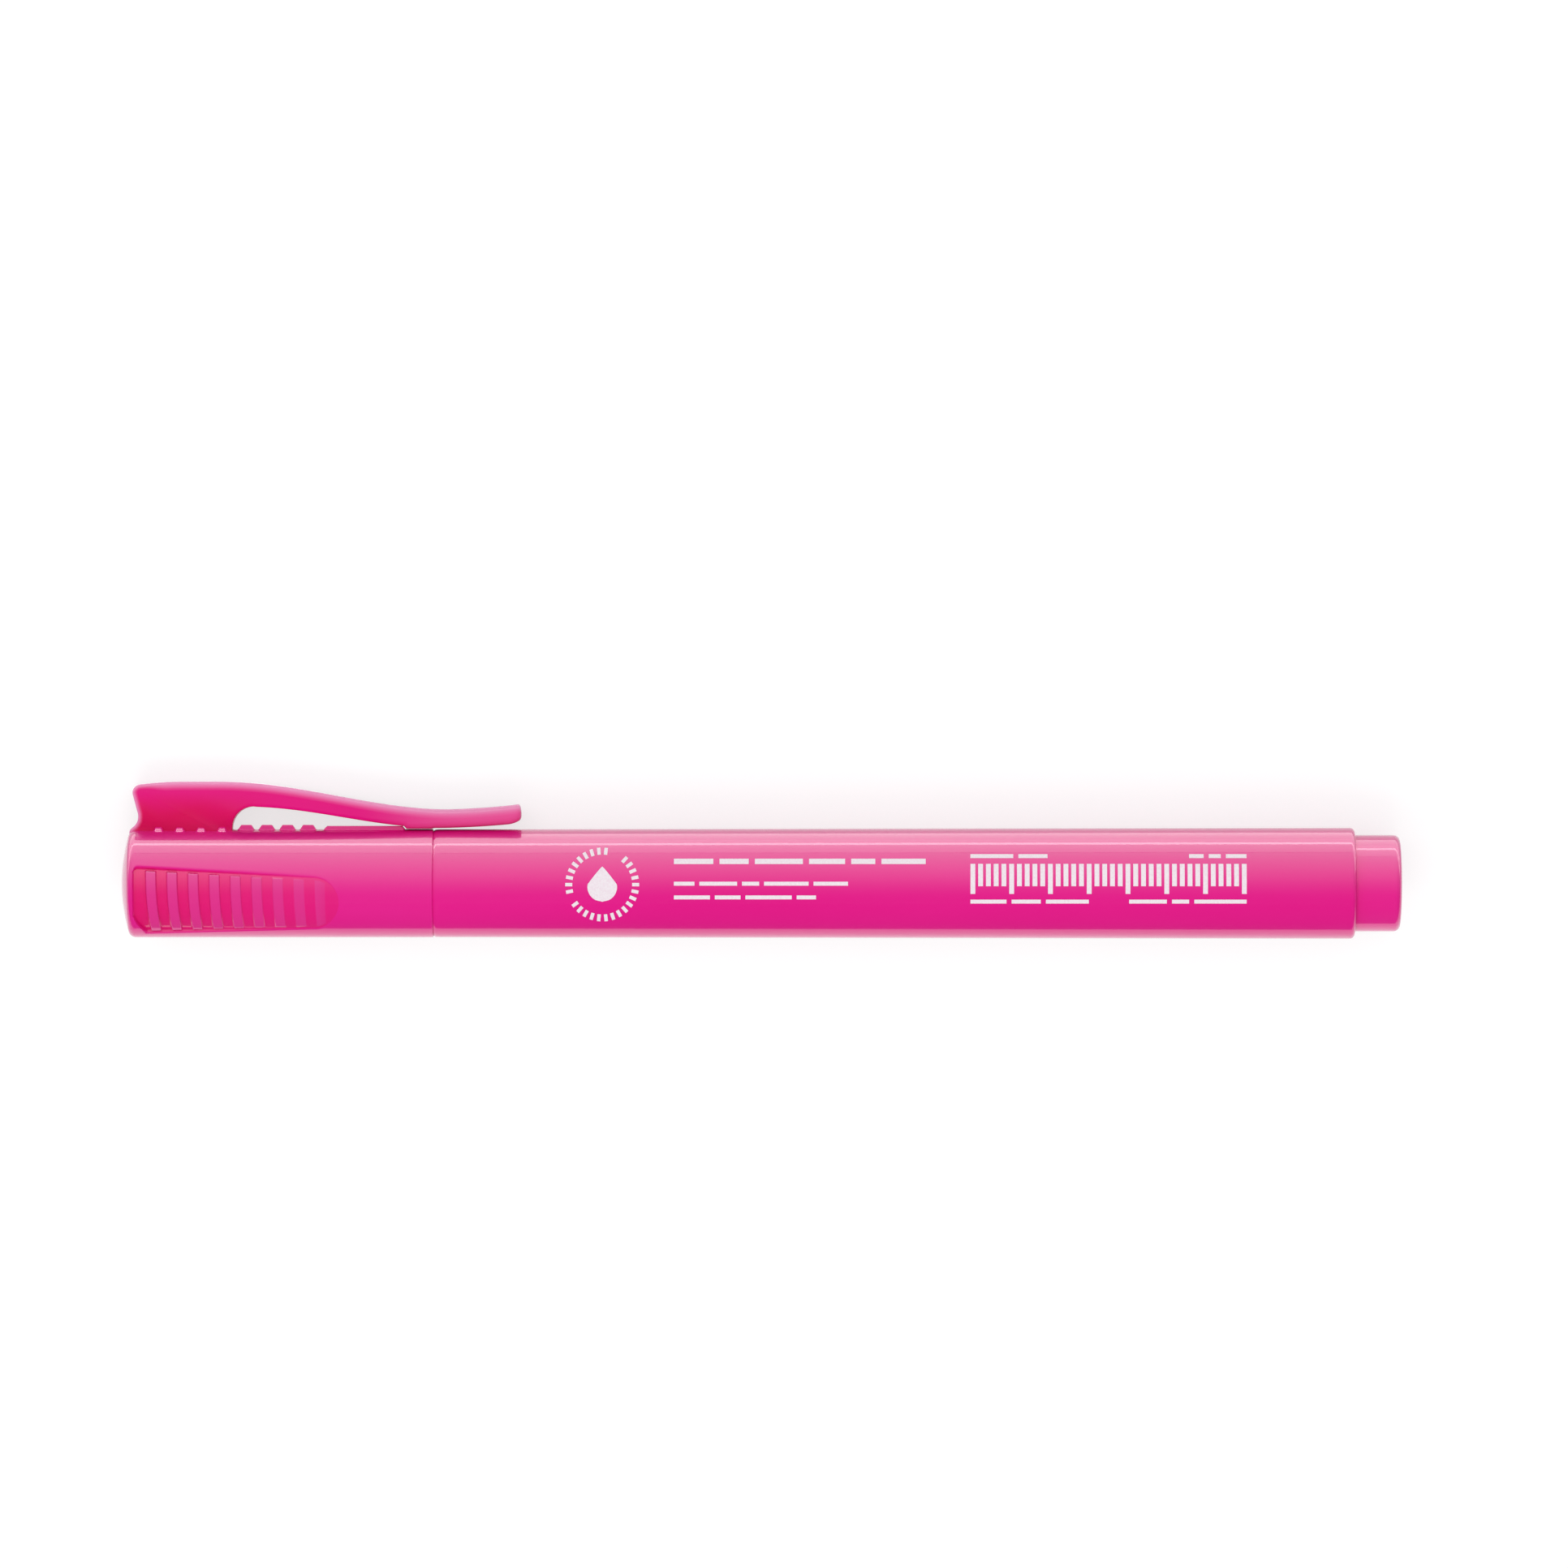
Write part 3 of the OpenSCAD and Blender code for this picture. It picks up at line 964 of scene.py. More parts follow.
@dataclass
class ChiselNib:
    """The chisel-cut fibre nib."""

    tip_x: float = 10.27
    rear_x: float = 37.15
    height: float = 4.47
    thickness: float = 2.5
    slant: float = 1.71
    edge: float = 0.5
    ease: float = 0.2
    straight_after: float = 8.0

    def ring(self, depth: float, inset: float) -> list[Place]:
        """One section of the nib, slanted at the tip and square further back.

        Args:
            depth: Millimetres behind the tip's face.
            inset: How much smaller the section is.

        Returns:
            The ring's vertices.
        """
        outline = slot_outline(self.height - 2 * inset, self.thickness - 2 * inset, self.edge - inset / 2, 8)
        left = max(0.0, 1 - depth / self.straight_after)
        return [(self.tip_x + depth + left * self.slant * (0.5 - up / self.height), across, up)
                for across, up in outline]

    def build(self) -> bpy.types.Object:
        """Build the bar with its slanted, slightly eased tip.

        Returns:
            The nib.
        """
        solid = Solid()
        middle = (self.tip_x + self.slant / 2, 0.0, 0.0)
        rings = [solid.add_ring([middle]), solid.add_ring(self.ring(0.0, self.ease + 0.5))]
        for degrees in spread(0, 90, 5):
            turn = math.radians(degrees)
            rings.append(solid.add_ring(self.ring(self.ease * (1 - math.sin(turn)),
                                                  self.ease * (1 - math.cos(turn)))))
        ordered = rings[:2] + rings[:1:-1]
        for depth in (1.0, 3.0, 5.5, self.straight_after, self.rear_x - self.tip_x):
            ordered.append(solid.add_ring(self.ring(depth, 0.0)))
        ordered.append(solid.add_ring([(self.rear_x, 0.0, 0.0)]))
        for low, high in zip(ordered, ordered[1:]):
            solid.join(low, high)
        return dress(solid.piece("chisel_nib", NIB_FIBRE.material(), 50), Slot.NIB, Body.PEN, "nib")


@dataclass
class InnerCap:
    """The closed liner that seals on the section's nose."""

    start_x: float = 1.53
    end_x: float = 21.5
    outer_r: float = 4.2
    bore_r: float = 3.32
    edge: float = 0.3
    floor: float = 1.0
    flare: float = 0.38
    segments: int = 120

    def build(self) -> bpy.types.Object:
        """Build the liner with its floor and flared mouth.

        Returns:
            The inner cap.
        """
        corner = self.outer_r - self.edge
        floor_x = self.start_x + self.floor
        profile: Profile = [(0.0, self.start_x), (corner, self.start_x)]
        profile += arc((corner, self.start_x + self.edge), self.edge, -80, 0, 5)
        profile += [(self.outer_r, x) for x in spread(4, self.end_x - 0.1, 6)]
        profile += [(self.outer_r - 0.08, self.end_x), (self.bore_r + self.flare + 0.08, self.end_x)]
        profile += [(self.bore_r + self.flare, self.end_x - 0.06), (self.bore_r, self.end_x - 1.0)]
        profile += [(self.bore_r, x) for x in spread(self.end_x - 2, floor_x + self.edge, 6)]
        profile += [(self.bore_r - self.edge, floor_x), (0.0, floor_x)]
        piece = revolve(profile, self.segments).piece("inner_cap_liner", LINER_PLASTIC.material())
        return dress(piece, Slot.LINER, Body.LINER, "inner_cap")


@dataclass(frozen=True)
class CrossRibs:
    """One row of ribs across the cap, under the clip."""

    first: float
    pitch: float
    height: float
    half_w: float
    flank: float
    slope: Point
    steps: tuple[float, ...]
    count: int = 4

    def level(self, along: float, radius: float) -> float:
        """Flat height of the row at a place along the pen.

        Args:
            along: The place.
            radius: The cap's radius.

        Returns:
            Height above the axis, or 0 between ribs.
        """
        nearest = min(self.count - 1, max(0, round((along - self.first) / self.pitch)))
        down = (abs(along - self.first - nearest * self.pitch) - self.half_w) / self.flank
        if down > 1.0:
            return 0.0
        drop = 0.0 if down < -0.15 else (down + 0.15)**2 / 0.6 if down < 0.15 else down
        return radius + self.height - (self.height + 0.2) * drop

    def rows(self) -> list[float]:
        """Places of vertex rows on both flanks of every rib."""
        return [self.first + rib * self.pitch + side * step
                for rib in range(self.count) for step in self.steps for side in (-1, 1)]


@dataclass
class CapShell:
    """The cap: domed end, two ribbed finger scoops, cross ribs and a land under the clip."""

    radius: float = 6.34
    mouth_x: float = 36.5
    dome_r: float = 20.0
    dome_edge: float = 0.9
    floor_x: float = 1.5
    socket_r: float = 4.25
    socket_x: float = 15.0
    taper_x: float = 21.5
    bore_r: float = 5.7
    lip_r: float = 6.21
    bead_x: float = 34.15
    bead_h: float = 0.09
    bead_half_w: float = 0.4
    scoop_start: float = 1.6
    scoop_end: float = 25.6
    scoop_turn: float = 22.56
    scoop_depth: float = 0.5
    scoop_mid: float = -2.22
    scoop_end_r: float = 3.04
    scoop_top: float = 2.02
    scoop_low: float = -5.83
    scoop_low_start: float = -4.0
    scoop_low_run: float = 0.9
    scoop_corner: float = 0.6
    scoop_bands: tuple[float, ...] = (0.4, 1.1, 3.0, 4.4)
    lean_least: float = 0.22
    lean_more: float = 0.33
    lean_from: float = -2.0
    lean_run: float = 7.4
    lean_bend: float = 2.4
    first_rib: float = 3.67
    pitch: float = 2.466
    scoop_ribs: int = 9
    rib_half: float = 0.6
    rib_ease: float = 0.08
    rib_drop: float = 0.08
    foot_ribs: CrossRibs = CrossRibs(4.37, 2.48, 0.3, 0.35, 0.3, (12.0, 21.0),
                                     (0.1, 0.3, 0.35, 0.4, 0.5, 0.64, 0.66))
    free_ribs: CrossRibs = CrossRibs(14.63, 2.41, 0.5, 0.6, 0.45, (10.0, 11.5),
                                     (0.1, 0.36, 0.53, 0.6, 0.67, 0.85, 1.04, 1.06))
    free_from: float = 13.2
    land_from: float = 23.69
    land_to: float = 33.2
    land_h: float = 0.38
    land_rise: float = 0.4
    land_fall: float = 0.3
    # Shares of painted shade in the scoops and of painted highlight on the scoop ribs, one per vertex.
    stored: dict[str, list[float]] = field(default_factory=lambda: {"recess": [0.0], "rib": [0.0]})

    def scoop_span(self, along: float) -> Point:
        """Upper and lower edge of a scoop at a place along the pen.

        Args:
            along: The place.

        Returns:
            Heights above the axis.
        """
        x = min(self.scoop_end - 0.02, max(self.scoop_start, along))
        if x > self.scoop_turn:
            half = math.sqrt(self.scoop_end_r**2 - (x - self.scoop_turn)**2)
            return self.scoop_mid + half, self.scoop_mid - half
        past = x - self.scoop_start
        share = past / (self.scoop_turn - self.scoop_start)
        upper = self.scoop_top + (self.scoop_mid + self.scoop_end_r - self.scoop_top) * share
        near = max(0.0, self.scoop_corner - past)
        upper -= self.scoop_corner - math.sqrt(self.scoop_corner**2 - near**2)
        if past < self.scoop_low_run:
            sunk = (self.scoop_low - self.scoop_low_start) * past / self.scoop_low_run
            return upper, self.scoop_low_start + sunk
        share = (past - self.scoop_low_run) / (self.scoop_turn - self.scoop_start - self.scoop_low_run)
        return upper, self.scoop_low + (self.scoop_mid - self.scoop_end_r - self.scoop_low) * share

    def columns(self, along: float) -> list[tuple[float, float, float]]:
        """Where the vertices of one row stand on half of the cap, from the clip's side to the underside.

        Columns follow the edges of the scoop, its ribs' ends and what stands under the clip.

        Args:
            along: The row's place along the pen.

        Returns:
            For each column its angle in degrees, its share of the scoop's depth and of the ribs' height.
        """
        upper, lower = self.scoop_span(along)
        high = math.degrees(math.acos(upper / self.radius))
        low = math.degrees(math.acos(lower / self.radius))
        middle = (high + low) / 2
        reach = max(1.5, (low - high) / 2)
        high, low = middle - reach, middle + reach
        free = smooth(along, self.free_from - 0.3, self.free_from + 0.3)
        corner, foot = (a + (b - a) * free for a, b in zip(self.foot_ribs.slope, self.free_ribs.slope))
        rim, wall, bare, full = (degrees * min(1.0, reach / 14) for degrees in self.scoop_bands)
        bands = [
            (corner - 1.0, 7, 0, 0), (corner, 1, 0, 0), (foot, 8, 0, 0), (high - rim, 24, 0, 0),
            (high + wall, 4, 1, 0), (high + bare, 2, 1, 0), (high + full, 3, 1, 1),
            (low - full, 56, 1, 1), (low - bare, 3, 1, 0), (low - wall, 2, 1, 0),
            (low + rim, 4, 0, 0), (180.0, 20, 0, 0),
        ]
        made = [(0.0, 0.0, 0.0)]
        for end, count, depth, rib in bands:
            start = made[-1]
            for i in range(1, count + 1):
                share = i / count
                ease = smooth(share, 0, 1)
                made.append((start[0] + (end - start[0]) * share, start[1] + (depth - start[1]) * ease,
                             start[2] + (rib - start[2]) * ease))
        return made

    def under_clip(self, along: float) -> tuple[float, float, float]:
        """Flat height of what stands under the clip, and the angles between which it slopes into the cap.

        Args:
            along: The place along the pen.

        Returns:
            Height above the axis, the angle at which the slope starts and the one at which it ends.
        """
        if along > self.land_from - 0.3:
            rise = min(1.0, (along - self.land_from) / self.land_rise,
                       (self.land_to - along) / self.land_fall)
            return self.radius + self.land_h * rise if rise > 0 else 0.0, *self.free_ribs.slope
        ribs = self.foot_ribs if along < self.free_from else self.free_ribs
        return ribs.level(along, self.radius), *ribs.slope

    def ribbed(self, along: float) -> float:
        """Share of a scoop rib's height at a place along the pen.

        Args:
            along: The place.

        Returns:
            The share, from 0 between two ribs to 1 on top of one.
        """
        nearest = min(self.scoop_ribs - 1, max(0, round((along - self.first_rib) / self.pitch)))
        away = abs(along - self.first_rib - nearest * self.pitch)
        return 1 - smooth(away, self.rib_half - self.rib_ease, self.rib_half + self.rib_ease)

    def ring(self, along: float, radius: float, outside: bool) -> list[Place]:
        """One row of vertices.

        Args:
            along: The row's place along the pen.
            radius: Its radius before relief.
            outside: Whether the relief is worked into it.

        Returns:
            The vertices round the cap.
        """
        half, stored = [], []
        height, top, foot = self.under_clip(along)
        fade = 1 - (along - self.scoop_start) / (self.scoop_end - self.scoop_start)
        inside = smooth(along, self.scoop_start - 0.09, self.scoop_start + 0.09) * (along < self.scoop_end)
        depth = self.scoop_depth * min(1.0, max(0.0, fade)) * inside
        kept = self.ribbed(along)
        lean = self.lean_least + self.lean_more * max(0.0, fade)
        lean *= smooth(along, 1.9, 2.7) * smooth(along, 24.8, 22.4)
        for degrees, scoop, rib in self.columns(along):
            turn = math.radians(degrees)
            r, x = radius, along
            if outside:
                r -= scoop * (depth - rib * kept * max(0.0, depth - self.rib_drop))
                if degrees < foot:
                    r += max(0.0, height / math.cos(turn) - r) * smooth(degrees, foot, top)
                drop = -r * math.cos(turn)
                down = min(1.0, max(0.0, (drop - self.lean_from) / self.lean_run))
                x += lean * down**self.lean_bend * smooth(drop, 6.3, 5.6)
            half.append((x, -r * math.sin(turn), r * math.cos(turn)))
            # Painted shade in the scoop, stronger near its start, and painted highlight on the scoop ribs.
            shade = (0.55 + 0.45 * max(0.0, fade)**0.8) * inside if outside else 0.0
            stored.append((scoop * shade, scoop * rib * kept * inside * smooth(fade, 0.0, 0.12)))
        for key, values in zip(self.stored, zip(*(stored + stored[-2:0:-1]))):
            self.stored[key].extend(values)
        return half + [(x, -y, z) for x, y, z in half[-2:0:-1]]

    def rows(self) -> list[float]:
        """Places of the outer rows along the pen, packed at every edge.

        Returns:
            The places in order.
        """
        first_place = 1.691
        places = [first_place, 1.74, 1.85, 2.0, 2.2, 2.4, 2.6]
        places += [self.first_rib + rib * self.pitch + side * step for rib in range(self.scoop_ribs)
                   for step in (0.0, 0.3, 0.47, 0.53, 0.57, 0.6, 0.63, 0.67, 0.73, 0.95) for side in (-1, 1)]
        places += self.foot_ribs.rows() + self.free_ribs.rows()
        places += [self.scoop_end - before
                   for before in (0.95, 0.8, 0.65, 0.5, 0.4, 0.3, 0.2, 0.14, 0.08, 0.03, -0.02)]
        places += [self.land_from + past for past in (0.0, 0.1, 0.2, 0.31, 0.4, 0.46)]
        places += [self.land_to - before for before in (0.4, 0.3, 0.2, 0.1, 0.0, -0.2)]
        places += [26.5, 28, 30, 31.5, 32.5, 34, 35, 36, 36.3, 36.42]
        ordered = sorted(places)
        return [x for x, before in zip(ordered, [-1.0] + ordered) if x - before > 0.015 and x >= first_place]

    def build(self) -> bpy.types.Object:
        """Build the cap's skin, outside and in.

        Returns:
            The cap.
        """
        inner = self.radius - self.dome_edge
        edge_x = self.dome_r - math.sqrt((self.dome_r - self.dome_edge)**2 - inner**2)
        meet = inner * self.dome_r / (self.dome_r - self.dome_edge)
        solid = Solid(values=self.stored)
        rings: list[range] = [solid.add_ring([(0.0, 0.0, 0.0)])]
        for r in spread(0.6, meet - 0.1, 9):
            rings.append(solid.add_ring(self.ring(self.dome_r - math.sqrt(self.dome_r**2 - r**2), r, False)))
        for r, x in arc((inner, edge_x), self.dome_edge, -73.5, -6, 11):
            rings.append(solid.add_ring(self.ring(x, r, True)))
        for x in self.rows():
            rings.append(solid.add_ring(self.ring(x, self.radius, True)))
        inside: Profile = [(self.radius - 0.02, self.mouth_x - 0.02), (self.radius - 0.06, self.mouth_x)]
        inside += [(self.lip_r + 0.01, self.mouth_x), (self.lip_r - 0.03, self.mouth_x - 0.04)]
        inside += [(self.bore_r + 0.03, 35.5), (self.bore_r, 35.3)]
        bead_r, wide = self.bore_r - self.bead_h, self.bead_half_w
        inside += [(self.bore_r, self.bead_x + wide), (bead_r, self.bead_x + wide / 2),
                   (bead_r, self.bead_x - wide / 2), (self.bore_r, self.bead_x - wide)]
        inside += [(self.bore_r, x) for x in (30.0, 25.0, self.taper_x)]
        taper = (self.bore_r - self.socket_r) / (self.taper_x - self.socket_x)
        inside += [(self.bore_r - taper * (self.taper_x - x), x) for x in (19.0, 17.0, self.socket_x)]
        inside += [(self.socket_r, 8.0), (self.socket_r, self.floor_x), (0.0, self.floor_x)]
        for r, x in inside:
            if r == 0.0:
                rings.append(solid.add_ring([(x, 0.0, 0.0)]))
                self.stored["recess"].append(0.0)
                self.stored["rib"].append(0.0)
            else:
                rings.append(solid.add_ring(self.ring(x, r, False)))
        for low, high in zip(rings, rings[1:]):
            solid.join(low, high)
        return dress(solid.piece("cap_skin", CAP_PINK.material(), 75), Slot.CAP, Body.CAP, "cap_shell")


@dataclass
class SprungClip:
    """The clip: a block on the cap's end, an arch and a springy arm with an upturned tip."""

    height: float = 11.9
    half_w: float = 2.3
    edge: float = 0.62
    edge_drop: float = 1.05
    soft_from: float = 24.0
    soft_to: float = 42.0
    heel: tuple[Point, ...] = ((0.98, 5.2), (0.93, 5.7), (0.95, 6.05), (1.08, 6.32), (1.3, 6.52),
                               (1.55, 6.74), (1.78, 7.02), (1.93, 7.34), (1.99, 7.7))
    back_x: Point = (1.98, 1.36)
    back_z: Point = (8.1, 10.4)
    inner_edge: float = 0.3
    head_x: float = 1.33
    head_r: float = 1.15
    head_h: float = 0.97
    head_drop: float = 1.25
    hump_x: float = 7.33
    hump_fall: float = 0.012
    fall_x: float = 11.23
    root_x: float = 14.03
    arch_x: float = 15.5
    arch_r: float = 2.5
    arm_t: float = 2.92
    low_t: float = 2.17
    low_z: float = 6.45
    low_x: float = 38.5
    end_x: float = 46.84
    tip_r: float = 0.4
    tip_plan: float = 1.5
    lift_x: float = 35.5
    top_lift: float = 0.66
    low_lift: float = 0.6
    sweep_x: float = 45.2
    sweep: float = 0.18
    tip_lean: float = 0.1
    foot_w: float = 1.5
    pad: tuple[float, float, float] = (33.2, 36.5, 6.37)

    def top(self, x: float) -> float:
        """Height of the upper edge at a place along the pen.

        Args:
            x: The place.

        Returns:
            The height above the axis.
        """
        hump = self.height - self.hump_fall * max(0.0, self.hump_x - x)**2
        sunk = fall(x, self.fall_x, self.low_x + 0.5) * (self.height - self.low_z - self.low_t)
        return hump - sunk + self.top_lift * (max(0.0, x - self.lift_x) / (self.end_x - self.lift_x))**2

    def bottom(self, x: float) -> float:
        """Height of the arm's lower edge at a place along the pen, with the pad.

        Args:
            x: The place.

        Returns:
            The height above the axis.
        """
        lean = self.height - self.arm_t
        sunk = fall(x, self.root_x, self.low_x - 0.5) * (lean - self.low_z)
        plain = lean - sunk + self.low_lift * (max(0.0, x - self.lift_x) / (self.end_x - self.lift_x))**2
        plain += self.sweep * max(0.0, x - self.sweep_x)**2
        start, end, low = self.pad
        share = min(smooth(x, start - 0.12, start + 0.12), smooth(x, end + 0.12, end - 0.12))
        return plain + (low - plain) * share

    def share_left(self, x: float, length: float) -> float:
        """Share of full size left near the tip, for a blunt, rounded end.

        Args:
            x: Place along the pen.
            length: How long the rounded end is.

        Returns:
            A share, 1 before the rounded end.
        """
        past = max(0.0, (x - self.end_x + length) / length)
        return max(0.03, 1 - past**3)**(1 / 3)

    def chains(self) -> tuple[Profile, Profile]:
        """The two edges of the side view, matched point by point.

        Returns:
            The outer edge and the inner edge, as places along the pen and heights.
        """
        outer: Profile = list(self.heel)
        outer += list(zip(spread(*self.back_x, 6), spread(*self.back_z, 6)))
        head_x, head_z = self.head_x + self.head_r, self.height - self.head_drop
        outer += [(head_x - self.head_r * math.cos(turn), head_z + self.head_h * math.sin(turn))
                  for turn in map(math.radians, spread(0, 78, 9))]
        outer += [(x, self.top(x)) for x in spread(2.65, self.arch_x, 33)]
        wall = self.arch_x - self.arch_r
        arch_z = self.height - self.arm_t - self.arch_r
        inner: Profile = [(x, 5.0) for x in spread(2.0, wall, 19)]
        inner += [(wall, z) for z in spread(5.3, arch_z - 0.1, 9)]
        inner += [(self.arch_x - self.arch_r * math.cos(turn), arch_z + self.arch_r * math.sin(turn))
                  for turn in map(math.radians, spread(0, 90, len(outer) - len(inner) - 1))]
        for x in spread(self.arch_x + 0.4, self.end_x - self.half_w, 90)[:-1]:
            outer.append((x, self.top(x)))
            inner.append((x, self.bottom(x)))
        for degrees in spread(0, 90, 30):
            x = self.end_x - self.half_w + self.half_w * math.sin(math.radians(degrees))
            middle = (self.top(x) + self.bottom(x)) / 2
            half = (self.top(x) - self.bottom(x)) / 2 * self.share_left(x, self.tip_r)
            outer.append((x, middle + half))
            inner.append((x, middle - half))
        return outer, inner

    def shaped(self, x: float, y: float, z: float) -> Place:
        """Narrow the block towards its foot and lean the tip's end.

        Args:
            x: Place along the pen.
            y: Place across the clip.
            z: Height above the axis.

        Returns:
            The place after both changes.
        """
        narrow = (1 - self.foot_w / self.half_w) * smooth(z, 8.6, 6.2) * smooth(x, 16.0, 12.5)
        lean = self.tip_lean * (z - self.bottom(self.end_x)) * smooth(x, self.end_x - 1.5, self.end_x)
        return x - lean, y * (1 - narrow), z

    @staticmethod
    def normals(chain: Profile, side: int) -> Profile:
        """Unit normals of an edge, pointing out of the clip.

        Args:
            chain: The edge.
            side: 1 where out is left of the way along it, -1 where it is right.

        Returns:
            The normals.
        """
        made = []
        for i in range(len(chain)):
            before, after = chain[max(0, i - 1)], chain[min(len(chain) - 1, i + 1)]
            dx, dz = after[0] - before[0], after[1] - before[1]
            dz *= smooth(chain[i][0], 44.0, 42.0)
            size = math.hypot(dx, dz) or 1.0
            made.append((-side * dz / size, side * dx / size))
        return made

    def half_ring(self, outer: Point, inner: Point, out_normal: Point, in_normal: Point) -> list[Place]:
        """Half a section of the clip, from the middle of its top round both edges to its underside.

        Args:
            outer: The outer edge's point.
            inner: The inner edge's point.
            out_normal: The outer edge's normal.
            in_normal: The inner edge's normal.

        Returns:
            The vertices.
        """
        x = outer[0]
        left, wide = 1.0, self.half_w
        if x > 20:
            left = self.share_left(x, self.tip_r)
            wide *= 0.75 + 0.25 * self.share_left(x, self.tip_plan)
        thick = math.hypot(x - inner[0], outer[1] - inner[1])
        oval = smooth(x, self.soft_from, self.soft_to)
        edge, low = (self.edge + 0.5 * oval) * left, (self.inner_edge + 0.6 * oval) * left
        sink = self.edge + (self.edge_drop - self.edge) * smooth(x, 2.6, 5.5) + 0.1 * oval
        sink, rise = min(sink, thick * 0.55), min(self.inner_edge + 0.5 * oval, thick * 0.4)

        def rounded(point: Point, normal: Point, radius: float, depth: float,
                    degrees: list[float]) -> list[Place]:
            """Round one edge of the section.

            Args:
                point: The edge's point in the side view.
                normal: Its normal.
                radius: Radius across the clip.
                depth: Radius along the normal.
                degrees: Angles of the vertices, 0 towards the middle and 90 on the side.

            Returns:
                The vertices.
            """
            made = []
            for turn in map(math.radians, degrees):
                inset = depth * (1 - math.cos(turn))
                made.append((point[0] - normal[0] * inset, wide - radius + radius * math.sin(turn),
                             point[1] - normal[1] * inset))
            return made

        half = [(x, 0.0, outer[1]), (x, (wide - edge) * 0.6, outer[1])]
        half += rounded(outer, out_normal, edge, sink, spread(0, 90, 6))
        start = half[-1]
        under = rounded(inner, in_normal, low, rise, spread(90, 0, 4))
        half += [tuple(a + (b - a) * share for a, b in zip(start, under[0])) for share in (0.08, 0.5, 0.92)]
        return half + under + [(inner[0], 0.0, inner[1])]

    @staticmethod
    def painted_highlight_shares(x: float) -> list[float]:
        """Share of painted highlight at each vertex of a section: full on top, and some all round towards the
        tip.

        Args:
            x: The section's place along the pen.

        Returns:
            One value for each vertex, in the order of the section.
        """
        face = 0.3 * smooth(x, 27.0, 41.0)
        marks = [1.0, 1.0] + [1.0 - (1.0 - face) * smooth(degrees, 35, 90) for degrees in spread(0, 90, 6)]
        marks += [face] * 9
        return marks + marks[-2:0:-1]

    def build(self) -> bpy.types.Object:
        """Build the clip's skin, fixed in place and not attached to any body.

        Returns:
            The clip.
        """
        outer, inner = self.chains()
        solid = Solid()
        rings = [solid.add_ring([(outer[0][0] + 0.4, 0.0, outer[0][1] - 0.2)])]
        # Painted highlight shares for the top edge and the tip; the clip's colour lightens by them.
        pale = [0.0]
        for points in zip(outer, inner, self.normals(outer, 1), self.normals(inner, -1)):
            half = self.half_ring(*points)
            pale.extend(self.painted_highlight_shares(points[0][0]))
            rings.append(solid.add_ring(half + [(x, -y, z) for x, y, z in half[-2:0:-1]]))
        rings.append(solid.add_ring([(outer[-1][0], 0.0, (outer[-1][1] + inner[-1][1]) / 2)]))
        solid.vertices = [self.shaped(*vertex) for vertex in solid.vertices]
        solid.values["rib"] = pale + [1.0]
        # Painted shade: the block darker low down towards the cap's end.
        solid.values["recess"] = [smooth(z, 10.9, 8.2) * smooth(x, 19.0, 10.0) for x, _, z in solid.vertices]
        for low, high in zip(rings, rings[1:]):
            solid.join(high, low)
        piece = solid.piece("clip_skin", CLIP_PINK.material(), 50)
        AXES.at(13.0, 0, 9)
        AXES.at(18.0, 0, 9)
        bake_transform(piece)
        return dress(piece, Slot.CAP, None, "clip_arm")


# ---------------------------------------------------------------- prints


@dataclass
class Marks:
    """Pale printed shapes on the barrel, drawn as seen from the side they face."""

    barrel: Barrel
    lift: float = 0.02
    solid: Solid = field(default_factory=Solid)

    def quad(self, corners: Sequence[Point], across: int = 1, up: int = 4, side: int = 1) -> None:
        """Lay a four-cornered shape on the barrel, which comes to a point where two corners meet.

        Args:
            corners: Places along the pen and heights above its axis, in order round the shape.
            across: Steps from the first corner to the second.
            up: Steps from the first corner to the fourth.
            side: 1 for the photographed side, -1 for the far side.
        """
        def place(u: float, v: float) -> Place:
            """A place of the shape on the barrel.

            Args:
                u: Share of the way along the shape.
                v: Share of the way across it.

            Returns:
                The place.
            """
            a, b, c, d = corners
            x = (1 - v) * ((1 - u) * a[0] + u * b[0]) + v * ((1 - u) * d[0] + u * c[0])
            z = (1 - v) * ((1 - u) * a[1] + u * b[1]) + v * ((1 - u) * d[1] + u * c[1])
            r = self.barrel.radius(x) + self.lift
            return x, -side * math.sqrt(r * r - z * z), z

        rings = []
        for j in range(up + 1):
            ring = [place(i / across, j / up) for i in range(across + 1)]
            rings.append(self.solid.add_ring(ring[:1] if ring[0] == ring[-1] else ring))
        for low, high in zip(rings, rings[1:]):
            first, second = (low, high) if side > 0 else (high, low)
            self.solid.join(first, second, closed=False)

    def bar(self, x: float, z: float, length: float, height: float, side: int = 1) -> None:
        """Lay a plain bar.

        Args:
            x: Its left end.
            z: Height of its middle.
            length: Its length along the pen.
            height: Its size upwards.
            side: The side of the barrel.
        """
        low, high = z - height / 2, z + height / 2
        corners = [(x, low), (x + length, low), (x + length, high), (x, high)]
        self.quad(corners, max(1, round(length)), 4, side)

    def dashes(self, x: float, z: float, lengths: Sequence[float], height: float, gap: float,
               side: int = 1) -> None:
        """Lay a row of bars with even gaps.

        Args:
            x: Left end of the row.
            z: Height of its middle.
            lengths: Length of each bar.
            height: Height of the bars.
            gap: Gap between bars.
            side: The side of the barrel.
        """
        for length in lengths:
            self.bar(x, z, length, height, side)
            x += length + gap

    def finish(self, name: str) -> bpy.types.Object:
        """Make the marks an object that rides on the pen.

        Args:
            name: Name of the print.

        Returns:
            The print.
        """
        return dress(self.solid.piece(name, PALE_INK.material(), 60), Slot.PRINT, Body.PEN)


